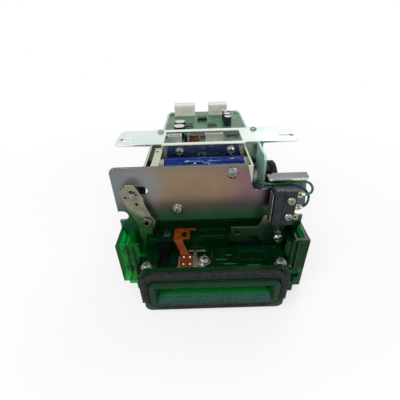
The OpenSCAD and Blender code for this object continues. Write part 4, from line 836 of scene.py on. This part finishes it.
# %% Mouth gasket
LIP_SIZE, LIP_MIDDLE_Z, LIP_CORNER = (65.0 * MM, 17.2 * MM), 17.8 * MM, 3.8 * MM
GASKET_TOP_CORNER, GASKET_LOW_CORNER, GASKET_RISE = 7.5 * MM, 12.0 * MM, 2.3 * MM
GASKET_ROWS, GASKET_COLUMNS = 320, 28


def even_steps(loop, count):
    """Points at equal steps along a closed line, with the length run at its own points and at the steps."""
    run = np.concatenate([[0], np.cumsum(np.linalg.norm(np.diff(loop, axis=0), axis=1))])
    even = np.linspace(0, run[-1], count, endpoint=False)
    return np.stack([np.interp(even, run, loop[:, k]) for k in range(loop.shape[1])], -1), run, even


def round_rectangle(width, height, corners, count):
    """Four quarter circles joined by straight runs, read off at equal steps of length.

    The corners are four radii, counted from the top right one to the left.
    """
    turn = np.linspace(0, np.pi / 2, 24)
    loop = []
    for k, (sx, sy) in enumerate(((1, 1), (-1, 1), (-1, -1), (1, -1))):
        corner = corners[k]
        arc = corner * np.stack([np.cos(turn + k * np.pi / 2), np.sin(turn + k * np.pi / 2)], -1)
        loop.append(arc + [sx * (width / 2 - corner), sy * (height / 2 - corner)])
    return even_steps(np.concatenate(loop + [loop[0][:1]]), count)[0]


low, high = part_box("mouth_gasket")
foot_z = low.z + GASKET_RISE
corners = (GASKET_TOP_CORNER, GASKET_TOP_CORNER, GASKET_LOW_CORNER, GASKET_LOW_CORNER)
outer = round_rectangle(high.x - low.x, high.z - foot_z, corners, GASKET_ROWS)
outer = outer + [(low.x + high.x) / 2, (foot_z + high.z) / 2]
inner = round_rectangle(*LIP_SIZE, (LIP_CORNER,) * 4, GASKET_ROWS) + [0, LIP_MIDDLE_Z]
across = 0.5 - 0.5 * np.cos(np.linspace(0, np.pi, GASKET_COLUMNS))
crown = (1 - np.abs(2 * across - 1) ** 5) ** (1 / 3)
lay = inner[:, None] + (outer - inner)[:, None] * across[None, :, None]
front_y = np.broadcast_to(high.y - crown * (high.y - low.y), lay.shape[:2])
section = np.stack([lay[..., 0], front_y, lay[..., 1]], -1)
piece("gasket_ring", ring(section), gasket_foam, "chassis", ["mouth_gasket"])

# %% [markdown]
# The signal of the small reading head leaves on a flexible strip: an orange film with copper tracks
# inside. It starts flat at the head, rises over the shelf edge in a soft bend and ends in a square pad
# with a hole. Stripes in Object coordinates would not bend with the strip, so the faint tracks follow it
# by its UV map.

# %% Flexible strip finish
TRACKS_ACROSS = 5.0


def polyimide():
    """Glossy orange film with fine tracks along it, where the share across is near the middle of a fifth."""
    material, tree, shader = new_material("orange film")
    clouds = place(tree, cloudy_tint, Light=tone(122, 56, 7), Dark=tone(102, 43, 5), Scale=160.0)
    across = axes_of(tree, add(tree, "UVMap", {"uv_map": "along"}).outputs["UV"])["Y"]
    share = maths(tree, "FRACT", maths(tree, "MULTIPLY", across, TRACKS_ACROSS))
    stripe = maths(tree, "ABSOLUTE", maths(tree, "SUBTRACT", share, 0.5))
    track = ranged(tree, stripe, 0.24, 0.16)
    faint = maths(tree, "MULTIPLY", track, 0.55)
    feed(tree, shader, Base_Color=mix_colour(tree, faint, clouds["Colour"], tone(84, 32, 4)),
         Roughness=ranged(tree, clouds["Mask"], 0.0, 1.0, 0.28, 0.42), Specular_IOR_Level=0.18,
         Normal=bumped(tree, track, 0.03))
    return material


orange_film = polyimide()
print("strip finish:", orange_film.name)

# %% [markdown]
# A plane could be bent by a lattice, but the strip has to meet the head and the shelf exactly, so it is
# a sheet in four runs. The neck is a smooth curve through a few points with a width at each one, the
# lower pad and the tab are flat grids, and the pad round the hole is a polar grid from the square
# outline to the hole's rim. Solidify then gives the sheet its quarter of a millimetre. The lower pad is
# soldered to the head, and the strip is attached to no body.

# %% Flexible strip
STRIP_THICK = 0.25 * MM
PAD_Z, TOP_Z = 28.4, 35.15
LOWER_PAD, UPPER_PAD = (-17.1, -10.6, -23.8, -15.4), (-20.3, -11.9, -10.6, -1.8)
TAB = (-11.9, -8.5, -3.6, -1.8)
HOLE, HOLE_HALF = (-14.8, -6.8), (1.4, 2.2)
NECK = [(-13.9, 3.1, -15.4, PAD_Z), (-14.8, 2.4, -14.8, 28.5), (-15.3, 2.1, -13.8, 29.4),
        (-16.3, 2.1, -12.8, 31.6), (-17.3, 2.1, -11.9, 33.9), (-17.9, 2.3, -11.2, 35.0),
        (-18.0, 2.3, -10.6, TOP_Z)]
NECK_COLUMNS = 9


def smooth_path(points, steps):
    """A curve through all its points: each span blends four neighbouring points by cubic weights in t."""
    p = np.asarray(points, float)
    padded = np.concatenate([p[:1], p, p[-1:]])
    t = (np.arange(steps) / steps)[:, None]
    a, b, c, d = (padded[k:len(p) - 1 + k, None, :] for k in range(4))
    span = 0.5 * (2 * b + (c - a) * t + (2 * a - 5 * b + 4 * c - d) * t ** 2
                  + (3 * b - a - 3 * c + d) * t ** 3)
    return np.concatenate([span.reshape(-1, p.shape[1]), p[-1:]])


def flat_sheet(x0, x1, y0, y1, z, nx, ny):
    """A level rectangle as a grid that faces up, rows along Y and columns along X."""
    y, x = np.meshgrid(np.linspace(y0, y1, ny), np.linspace(x0, x1, nx), indexing="ij")
    return np.stack([x, y, np.full_like(x, z)], -1)


def square_round_hole(x0, x1, y0, y1, z, hole, half, count, rings):
    """Rays from a rectangle to a long hole's rim: rim + share (edge - rim), with share from 1 to 0.

    The edge is cut off by the nearest side. The rim is an ellipse: the product of its half axes over the
    length of the turned cross axes.
    """
    turn = np.linspace(0, 2 * np.pi, count, endpoint=False) + np.pi / 4
    way = np.stack([np.cos(turn), np.sin(turn)], -1)
    far = np.where(way > 0, np.array([x1, y1]) - hole, np.array([x0, y0]) - hole)
    reach = (np.abs(far) / np.maximum(np.abs(way), 1e-9)).min(-1)
    rim = half[0] * half[1] / np.hypot(half[1] * way[:, 0], half[0] * way[:, 1])
    share = np.linspace(1, 0, rings)[:, None]
    run = rim + share * (reach - rim)
    flat = np.asarray(hole) + run[..., None] * way
    return np.concatenate([flat, np.full(flat.shape[:2] + (1,), z)], -1)


neck = smooth_path(NECK, 10)
side = np.linspace(-1, 1, NECK_COLUMNS)
neck_y, neck_z = (np.repeat(neck[:, k:k + 1], NECK_COLUMNS, 1) for k in (2, 3))
neck_sheet = np.stack([neck[:, :1] + neck[:, 1:2] * side, neck_y, neck_z], -1)
sheets = [(flat_sheet(*LOWER_PAD, PAD_Z, 9, 12), False), (neck_sheet, False),
          (square_round_hole(*UPPER_PAD, TOP_Z, HOLE, HOLE_HALF, 96, 8), True),
          (flat_sheet(*TAB, TOP_Z, 9, 5), False)]
strip = piece("flex_strip", [(grid * MM, False, goes_round, False) for grid, goes_round in sheets],
              orange_film, None, ["prehead_flex"])
thick = strip.modifiers.new("thickness", "SOLIDIFY")
thick.thickness = STRIP_THICK
thick.offset = 1.0
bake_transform(strip)
print("strip top in mm:", TOP_Z + STRIP_THICK / MM)

# %% [markdown]
# Four solder joints stand on the lower pad, where the head's pins come through, two more hold the
# wires to the switch and two hold them to the board. A joint is a drop of metal. Scaled spheres could
# stand for them, but half of most would be hidden, so a joint is half an ellipse turned about its axis,
# or a whole one where it hangs on a terminal.

# %% Solder joints
HEAD_MIDDLE, HEAD_STEP, PIN_FOOT = (-13.5, -19.8), (1.6, 2.45), PAD_Z + 0.2
TERMINAL_END, TERMINAL_LEVELS = (43.9 * MM, -8.6 * MM), (15.8, 8.4)
BOARD_JOINT_Y, BOARD_JOINTS_X = 36.6 * MM, (25.4, 23.4)
switch_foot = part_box("microswitch")[0].z
board_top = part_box("control_board")[1].z


def drop(middle, radius, height, axis=2, whole=False):
    """An ellipse turned about one axis: radius cos t outward and height sin t along the axis."""
    rows, cols = 16, 24
    t = np.linspace(-np.pi / 2 if whole else 0.0, np.pi / 2, rows)[:, None] * 0.995
    v = np.linspace(0, 2 * np.pi, cols, endpoint=False)[None, :]
    skin = np.stack([radius * np.cos(t) * np.cos(v), radius * np.cos(t) * np.sin(v),
                     np.broadcast_to(height * np.sin(t), (rows, cols))], -1)
    return np.roll(skin, axis - 2, axis=-1) + middle


pins = [(HEAD_MIDDLE[0] + sx * HEAD_STEP[0], HEAD_MIDDLE[1] + sy * HEAD_STEP[1])
        for sx in (-1, 1) for sy in (-1, 1)]
domes = [drop(np.array([x, y, PIN_FOOT]) * MM, 0.78 * MM, 1.05 * MM) for x, y in pins]
piece("head_solder", rods(domes), solder, "prehead")
joints = [drop(np.array([*TERMINAL_END, switch_foot + z * MM]), 0.95 * MM, 1.3 * MM, 0, True)
          for z in TERMINAL_LEVELS]
joints += [drop(np.array([x * MM, BOARD_JOINT_Y, board_top]), 1.0 * MM, 1.25 * MM) for x in BOARD_JOINTS_X]
piece("terminal_solder", rods(joints), solder, "chassis")

# %% [markdown]
# The deck is moulded with low ribs that stiffen it over the sensors. Some are painted a paler green as
# painted light and the rest a darker green as painted shade, so they show as short green lines on a dark
# floor. Two upright ribs stand on the front of each wing, painted darker as painted shade. Bevelled boxes
# could be used, but these ribs are soft all round, so a rib is an ellipse carried along a straight line,
# half sunk in its face, and drawn in at both ends.

# %% Deck and wing ribs
DECK_TOP, SHELF_TOP, RIB_HIGH = 28.0, 35.0, 0.35
LIT_RIBS = [((6.3, -15.9), (10.2, -16.0), 0.5), ((4.6, -21.9), (12.0, -22.1), 0.6),
            ((1.2, -18.9), (7.2, -19.0), 0.45), ((16.5, -23.2), (24.0, -23.4), 0.6)]
DIM_RIBS = [((-0.5, -17.6), (-0.4, -11.4), 0.9), ((4.9, -17.6), (5.1, -11.4), 0.9),
            ((13.5, -19.6), (27.0, -19.8), 0.4), ((13.5, -13.4), (28.0, -13.6), 0.4),
            ((14.0, -18.8), (14.0, -13.8), 0.4), ((27.4, -19.2), (27.4, -13.8), 0.4),
            ((20.4, -18.8), (20.4, -13.8), 0.4), ((-33.0, -21.0), (-33.0, -11.6), 0.5),
            ((-30.4, -21.0), (-30.4, -11.6), 0.5)]
SHELF_RIBS = [((-7.6, -8.4), (7.8, -8.6), 0.5), ((-7.6, -3.4), (7.8, -3.4), 0.5),
              ((-2.2, -8.0), (-2.2, -3.8), 0.5), ((3.4, -8.0), (3.4, -3.8), 0.5),
              ((-33.6, -9.8), (-29.0, -9.8), 0.5)]
WING_RIBS = [(44.2, 1.3), (41.2, 1.0)]
WING_FRONT, WING_LOW, WING_HIGH, WING_RIB_HIGH = -16.0, 14.6, 37.4, 0.25


def rib(start, end, wide, high, face):
    """Start + s (end - start), with half the width across it by cos v and the height off its face by sin v.

    Both are drawn in near the ends by the root of the distance to the end.
    """
    start, end, face = (np.array(a, float) for a in (start, end, face))
    s = np.linspace(0, 1, 16)[:, None, None]
    v = np.linspace(0, 2 * np.pi, 14, endpoint=False)[None, :, None]
    across = np.cross(face, end - start)
    across /= np.linalg.norm(across)
    swell = np.clip(np.sqrt(8 * np.minimum(s, 1 - s)), 0.3, 1)
    section = 0.5 * wide * np.cos(v) * across + high * np.sin(v) * face
    return MM * (start + s * (end - start) + swell * section)


def level_ribs(lines, z):
    """Ribs that lie on a level floor at one height."""
    return [rib((*a, z), (*b, z), wide, RIB_HIGH, TO_TOP) for a, b, wide in lines]


# Lit ribs are painted a paler green, painted light; dim and wing ribs a darker green, painted shade.
lit_rib = clear_green("lit green ribs", (34, 132, 66), (22, 108, 50), 0.30, (0.10, 0.20), 0.02)
dim_rib = clear_green("dim green ribs", (16, 66, 36), (10, 50, 26), 0.40, (0.10, 0.20), 0.02)
shaded_wing_rib = clear_green("shaded wing ribs", (26, 80, 44), (18, 66, 36), 0.50, (0.10, 0.20), 0.02)
lit = level_ribs(LIT_RIBS, DECK_TOP)
dim = level_ribs(DIM_RIBS, DECK_TOP) + level_ribs(SHELF_RIBS, SHELF_TOP)
upright = [rib((hand * x, WING_FRONT, WING_LOW), (hand * x, WING_FRONT, WING_HIGH), wide, WING_RIB_HIGH,
               TO_FRONT) for hand in (-1, 1) for x, wide in WING_RIBS]
piece("deck_ribs", rods(lit), lit_rib, "chassis")
piece("deck_ribs_dim", rods(dim), dim_rib, "chassis")
piece("wing_ribs", rods(upright), shaded_wing_rib, "chassis")

# %% [markdown]
# Two insulated wires leave the switch, one green and one dark blue. They loop out past the edge of
# the plate, run back under the small roof and dive through the notch to the board. They are held at both
# ends, so they are fitted leads and not free cords. A curve with a round bevel could make them, but a
# circle carried along a smooth path is a mesh at once.

# %% Switch wires
WIRE_R = 0.6 * MM
GREEN_WAY = [(44.4, -8.6, 15.8), (45.6, -8.6, 15.8), (47.8, -8, 16.5), (48.75, -6.4, 18.05),
             (47.8, -4.8, 19.6), (45.6, -4.2, 20.3), (41.5, -3.5, 20), (36, -2.8, 19), (31.5, -2, 18.3),
             (28.2, -0.4, 17.5), (25.8, 2.4, 16.4), (24, 6, 12.5), (23.6, 12, 9.5), (24, 20, 10),
             (24.8, 27, 14), (25.4, 32, 17.3), (25.4, 36.5, 17.15)]
NAVY_WAY = [(44.4, -8.6, 8.4), (47, -7.4, 9.4), (48.2, -5.6, 12.6), (46, -4.2, 16), (41.5, -2.8, 17.6),
            (36, -2, 17.6), (31, -1.9, 16.3), (26.4, 0.2, 15.4), (23.8, 2.8, 13.8), (22.9, 6, 10.5),
            (22.6, 12, 7.8), (22.8, 20, 8.2), (23.2, 27, 13), (23.4, 32, 17.2), (23.4, 36.5, 17.15)]
WIRE_HINT = np.array([0.25, 0.55, 1.0])


def tube(path, radius, sides, side_hint):
    """A circle carried along a path: centre + radius (cos v side + sin v over), square to the tangent."""
    ahead = np.gradient(path, axis=0)
    ahead /= np.linalg.norm(ahead, axis=1, keepdims=True)
    side = side_hint - ahead * (ahead @ side_hint)[:, None]
    side /= np.linalg.norm(side, axis=1, keepdims=True)
    over = np.cross(ahead, side)
    v = np.linspace(0, 2 * np.pi, sides, endpoint=False)[None, :, None]
    return path[:, None] + radius * (np.cos(v) * side[:, None] + np.sin(v) * over[:, None])


for name, way, colour in (("wire_green", GREEN_WAY, wire_green), ("wire_navy", NAVY_WAY, wire_navy)):
    path = smooth_path(way, 12) * MM + [0, 0, switch_foot]
    piece(name, rods([tube(path, WIRE_R, 14, WIRE_HINT)]), colour, "chassis", ["switch_wires"])

# %% [markdown]
# The solenoid's coil wears a blue shrink sleeve. It is glossy and wrinkled, because the film shrank
# over tape and leads. A Displace modifier could wrinkle a cylinder, but it pushes both ways. Here the
# radius is cut by crossed waves and never raised, so the sleeve stays inside its true size, and its ends
# roll in over the coil. Pale streaks along its creases are painted highlights.

# %% Shrink sleeve
SLEEVE_WALL, ROLL_RUN, ROLL_DEPTH, WRINKLE_DEPTH = 1.35 * MM, 1.2 * MM, 0.5 * MM, 0.42 * MM
SLEEVE_ROWS, SLEEVE_COLUMNS = 240, 220
HIGHLIGHT_STRETCH = (0.14, 1, 1)


def wrinkles(x, v):
    """Crossed sines of place and angle, sharpened by powers, from 0 on the swells to 1 in the creases."""
    a = np.sin(5 * v + 260 * x + 1.4 * np.sin(210 * x - 3 * v))
    b = np.sin(9 * v - 330 * x + 1.8 * np.sin(160 * x + 2 * v))
    c = np.sin(3 * v + 620 * x + 2.2 * np.sin(120 * x + 4 * v))
    return 0.5 * np.abs(a * b) ** 1.5 + 0.3 * np.abs(b * c) + 0.2 * (0.5 + 0.5 * c) ** 3


def crease_highlights(material, scale, wide, tint):
    """Mixes in painted highlights along the level lines of a long noise, kept to some patches of a slower
    noise.
    """
    tree, _ = shader_of(material)
    drawn = vector_maths(tree, "MULTIPLY", where_on(tree), HIGHLIGHT_STRETCH)
    field = noise(tree, drawn, scale, 2.0, Distortion=0.3)
    off = maths(tree, "ABSOLUTE", maths(tree, "SUBTRACT", field, 0.5))
    patch = ranged(tree, noise(tree, drawn, 0.5 * scale, 1.0), 0.53, 0.60)
    paint_light_by(material, maths(tree, "MULTIPLY", ranged(tree, off, wide, 0.3 * wide), patch), tint)


# The pale blue-white streaks are painted highlights on the sleeve's creases.
crease_highlights(sleeve_blue, 420.0, 0.022, (176, 192, 218))
low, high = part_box("solenoid_sleeve")
axis_y, axis_z = (low.y + high.y) / 2, (low.z + high.z) / 2
sleeve_r = (high.z - low.z) / 2
bore_r = sleeve_r - SLEEVE_WALL
x = np.linspace(low.x, high.x, SLEEVE_ROWS)[:, None]
v = np.linspace(0, 2 * np.pi, SLEEVE_COLUMNS, endpoint=False)[None, :]
from_end = np.clip(np.minimum(x - low.x, high.x - x) / ROLL_RUN, 0, 1)
roll_in = ROLL_DEPTH * (1 - np.sqrt(1 - (1 - from_end) ** 2))
r = sleeve_r - roll_in - WRINKLE_DEPTH * wrinkles(x, v) * np.sqrt(from_end)
skin = np.stack([np.broadcast_to(x, r.shape), axis_y + r * np.cos(v), axis_z + r * np.sin(v)], -1)
lips = [np.stack([np.full_like(v, end_x), axis_y + bore_r * np.cos(v), axis_z + bore_r * np.sin(v)], -1)
        for end_x in (low.x, high.x)]
shell = np.concatenate([lips[0], skin, lips[1]])
piece("shrink_sleeve", ring(shell), sleeve_blue, "chassis", ["solenoid_sleeve"])

# %% [markdown]
# A light return spring pushes the plunger out again. A Screw modifier could wind it at one pitch, but its
# end turns are closed, so it is a wire carried along a helix whose pitch changes. It shortens with the
# plunger, and it has a mesh of its own.

# %% Return spring
SPRING_WIRE, SPRING_TURNS, STROKE = 0.3 * MM, 6, 4.6 * MM

low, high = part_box("plunger_spring")
middle_y, middle_z = (low.y + high.y) / 2, (low.z + high.z) / 2
coil_r = (high.z - low.z) / 2 - SPRING_WIRE
s = np.linspace(0, 1, 40 * SPRING_TURNS)
pitch = np.interp(s, [0, 0.14, 0.86, 1], [0.0, 0.07, 0.93, 1.0])
angle = 2 * np.pi * SPRING_TURNS * s
start_x, end_x = low.x + SPRING_WIRE, high.x - SPRING_WIRE
helix = np.stack([start_x + (end_x - start_x) * pitch, middle_y + coil_r * np.cos(angle),
                  middle_z + coil_r * np.sin(angle)], -1)
coil = piece("return_spring", rods([tube(helix, SPRING_WIRE, 10, np.array(TO_RIGHT, float))]), spring_steel,
             "chassis", ["plunger_spring"])
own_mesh(coil)

# %% [markdown]
# Two toothed belts carry the drive: a short one from the motor to the middle shaft, and a long one
# along the left side. A Curve modifier could wrap a straight toothed strip, but its last tooth has to
# meet its first. So a flat section is carried round a path of two arcs and their outer tangents, and its
# inner face swells into a whole number of teeth.

# %% Toothed belts
TOOTH_PITCH, TOOTH_HIGH, TOOTH_STEPS = 2.0 * MM, 0.22 * MM, 8
BELT_THICK, ARC_STEPS = 0.9 * MM, 200


def belt_path(a, ra, b, rb, count):
    """Arc about a, tangent, arc about b, tangent: points and outward normals at equal steps of length."""
    a, b = np.asarray(a, float), np.asarray(b, float)
    gap = np.linalg.norm(b - a)
    heading = math.atan2(*(b - a)[::-1])
    lean = math.acos((ra - rb) / gap)
    angles = np.concatenate([np.linspace(heading + lean, heading + 2 * np.pi - lean, ARC_STEPS),
                             np.linspace(heading - lean, heading + lean, ARC_STEPS) + 2 * np.pi])
    way = np.stack([np.cos(angles), np.sin(angles)], -1)
    loop = np.repeat([a, b], ARC_STEPS, axis=0) + way * np.repeat([ra, rb], ARC_STEPS)[:, None]
    loop, angles = np.concatenate([loop, loop[:1]]), np.append(angles, angles[0] + 2 * np.pi)
    spot, run, even = even_steps(loop, count)
    turn = np.interp(even, run, angles)
    return spot, np.stack([np.cos(turn), np.sin(turn)], -1), run[-1]


def belt(name, node, a, ra, b, rb):
    """A flat section carried round a belt path, with rounded edges and teeth inside."""
    low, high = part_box(node)
    _, _, length = belt_path(a, ra, b, rb, TOOTH_STEPS)
    teeth = int(round(length / TOOTH_PITCH))
    spot, way, _ = belt_path(a, ra, b, rb, teeth * TOOTH_STEPS)
    phase = np.cos(2 * np.pi * np.arange(teeth * TOOTH_STEPS) / TOOTH_STEPS)
    bite = TOOTH_HIGH * np.clip(0.5 + 1.2 * phase, 0, 1)
    half, mid = (high.x - low.x) / 2, (high.x + low.x) / 2
    across = np.array([-1, -0.9, 0.9, 1, 1, 0.9, -0.9, -1]) * half + mid
    lift = np.array([0.85, 1, 1, 0.85, 0.1, 0, 0, 0.1]) * BELT_THICK
    inside = np.array([0, 0, 0, 0, 0, 1, 1, 0])
    out = lift[None, :] - bite[:, None] * inside[None, :]
    flat = spot[:, None] + out[..., None] * way[:, None]
    grid = np.concatenate([np.broadcast_to(across, out.shape)[..., None], flat], -1)
    print(name, "teeth:", teeth)
    return piece(name, ring(grid), belt_rubber, "chassis", [node])


low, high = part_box("transport_belt")
shaft_z = (low.z + high.z) / 2
outer_r = (high.z - low.z) / 2
long_r = outer_r - BELT_THICK
belt("long_belt", "transport_belt", (low.y + outer_r, shaft_z), long_r, (high.y - outer_r, shaft_z), long_r)
low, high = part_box("drive_belt")
motor_r = high.z - motor_axis[1] - BELT_THICK
mid_r = shaft_z - low.z - BELT_THICK
belt("short_belt", "drive_belt", motor_axis, motor_r, (high.y - mid_r - BELT_THICK, shaft_z), mid_r)

# %% [markdown]
# The chips on the board stand on bent metal legs. An Array modifier could repeat a leg, but each row
# has its own count. So a leg is one array of points, a flat bar along a bent line, and a row is that
# array with places added to it. The other row is its mirror image.

# %% Chip legs
LEG_LINE = np.array([(0.0, 0.75), (0.45, 0.75), (0.75, 0.12), (1.25, 0.12)]) * MM
LEG_WIDE, LEG_THICK, LEG_PITCH, LEG_INSET = 0.42 * MM, 0.18 * MM, 1.3, 0.8
CHIPS = [(-8, 8, 68, 84), (14, 24, 70, 78), (-24, -10, 92, 100), (2, 9, 94, 99.2)]


def bar_rings(line, wide, thick):
    """A flat bar along a bent line in (out, up): each station is a rectangle wide by thick."""
    corner = np.array([(-1, 0), (1, 0), (1, 1), (-1, 1)]) * 0.5
    rings = np.zeros((len(line), 4, 3))
    rings[..., 0] = corner[:, 0] * wide
    rings[..., 1] = line[:, None, 0]
    rings[..., 2] = line[:, None, 1] + corner[:, 1] * thick
    return rings


legs = []
for x0, x1, y0, y1 in CHIPS:
    at = np.linspace(x0 + LEG_INSET, x1 - LEG_INSET, int((x1 - x0) / LEG_PITCH)) * MM
    for hand, edge_y in ((-1, y0 * MM), (1, y1 * MM)):
        leg = bar_rings(LEG_LINE, LEG_WIDE, LEG_THICK) * [1, hand, 1]
        legs += [leg + [leg_x, edge_y, board_top] for leg_x in at]
piece("chip_legs", rods(legs), solder, "chassis")

# %% [markdown]
# The capacitors end in a bare aluminium lid with a rolled rim. A Screw modifier could turn it, but five
# lids would be five objects, so a profile is turned about an upright axis by a formula and all lids are
# one piece. The choke beside the plug is wound with enamelled copper wire, a tube on a helix.

# %% Capacitor tops and choke
CANS = [(-19, 70, 4.0, 9), (-19, 80, 4.0, 9), (18, 96, 3.0, 7), (18, 104, 3.0, 7), (18, 112, 3.0, 7)]
CHOKE_X, CHOKE_BACK, CHOKE_FOOT, CHOKE_HIGH = -8.5, 6.0, 0.6, 4.6
CHOKE_R, CHOKE_TURNS, CHOKE_WIRE = 3.68, 7.5, 0.27 * MM


def turned(profile, middle, count):
    """A profile of (radius, height) turned about an upright axis."""
    v = np.linspace(0, 2 * np.pi, count, endpoint=False)
    r, z = (line[:, None] for line in np.asarray(profile).T)
    return np.stack([r * np.cos(v), r * np.sin(v), np.repeat(z, count, 1)], -1) + middle


aluminium = metal("brushed aluminium", (204, 206, 206), (184, 186, 187), (232, 233, 233), (0.24, 0.4), 120.0)
copper = metal("enamelled copper", (172, 92, 48), (140, 66, 32), (206, 130, 82), (0.24, 0.38), 700.0, 0.1)
tops = []
for can_x, can_y, can_r, can_high in CANS:
    lid = np.array([(can_r - 0.35, -0.02), (can_r - 0.35, 0.16), (can_r - 0.6, 0.22), (can_r - 0.9, 0.12),
                    (0.5, 0.10), (0.05, 0.10)])
    tops.append(turned(lid * MM, np.array([can_x, can_y, can_high]) * MM + [0, 0, board_top], 48))
piece("can_tops", rods(tops), aluminium, "chassis")
plug_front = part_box("board_connectors")[0].y
s = np.linspace(0, 1, 360)
angle = 2 * np.pi * CHOKE_TURNS * s
wind = np.stack([(CHOKE_X + CHOKE_R * np.cos(angle)) * MM,
                 plug_front + (CHOKE_BACK + CHOKE_R * np.sin(angle)) * MM,
                 board_top + (CHOKE_FOOT + CHOKE_HIGH * s) * MM], -1)
winding = tube(wind, CHOKE_WIRE, 10, np.array(TO_TOP, float))
piece("choke_winding", rods([winding]), copper, "chassis")

# %% [markdown]
# The plugs on the board hold rows of square pins with tapered tips. Boxes could be placed by hand, but a
# pin is only three squares carried along one direction, so one function sets out both kinds. The two
# small plugs in front open upward, and the two large ones open at the back, so their pins lie level.

# %% Plug pins
PIN_HALF, PIN_TIP = 0.3 * MM, 1.0 * MM
FRONT_PINS_X = (0.95, 2.85, 4.75, 6.65, 8.55, -24, -22.3, -20.7, -19)
FRONT_PINS_BACK, FRONT_PINS_FOOT = 3, 1.5
REAR_PINS_X = (*np.linspace(-23.6, -10.4, 7), *np.linspace(6.4, 17.6, 6))
REAR_PINS_LEVELS, REAR_PINS_DEPTH = (3.6, 6.2), 14


def pin_grid(starts, way, length):
    """A square pin with a tapered tip, set out at each start and carried along one direction."""
    way = np.array(way, float)
    along = np.array([0, length - PIN_TIP, length])[:, None, None]
    size = np.array([PIN_HALF, PIN_HALF, 0.45 * PIN_HALF])[:, None, None]
    corner = np.array([(-1, -1), (1, -1), (1, 1), (-1, 1)])
    a, b = [np.roll(way, k) for k in (1, 2)]
    pin = along * way + size * (corner[:, :1] * a + corner[:, 1:] * b)
    return [pin + start for start in starts]


front_pins = [(x * MM, plug_front + FRONT_PINS_BACK * MM, board_top + FRONT_PINS_FOOT * MM)
              for x in FRONT_PINS_X]
chassis_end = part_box("rear_plate")[0].y
rear_pins = [(x * MM, chassis_end - REAR_PINS_DEPTH * MM, board_top + z * MM)
             for z in REAR_PINS_LEVELS for x in REAR_PINS_X]
plug_pins = pin_grid(front_pins, TO_TOP, 5.0 * MM) + pin_grid(rear_pins, TO_BACK, 9.0 * MM)
piece("plug_pins", rods(plug_pins), tinned_brass, "chassis")
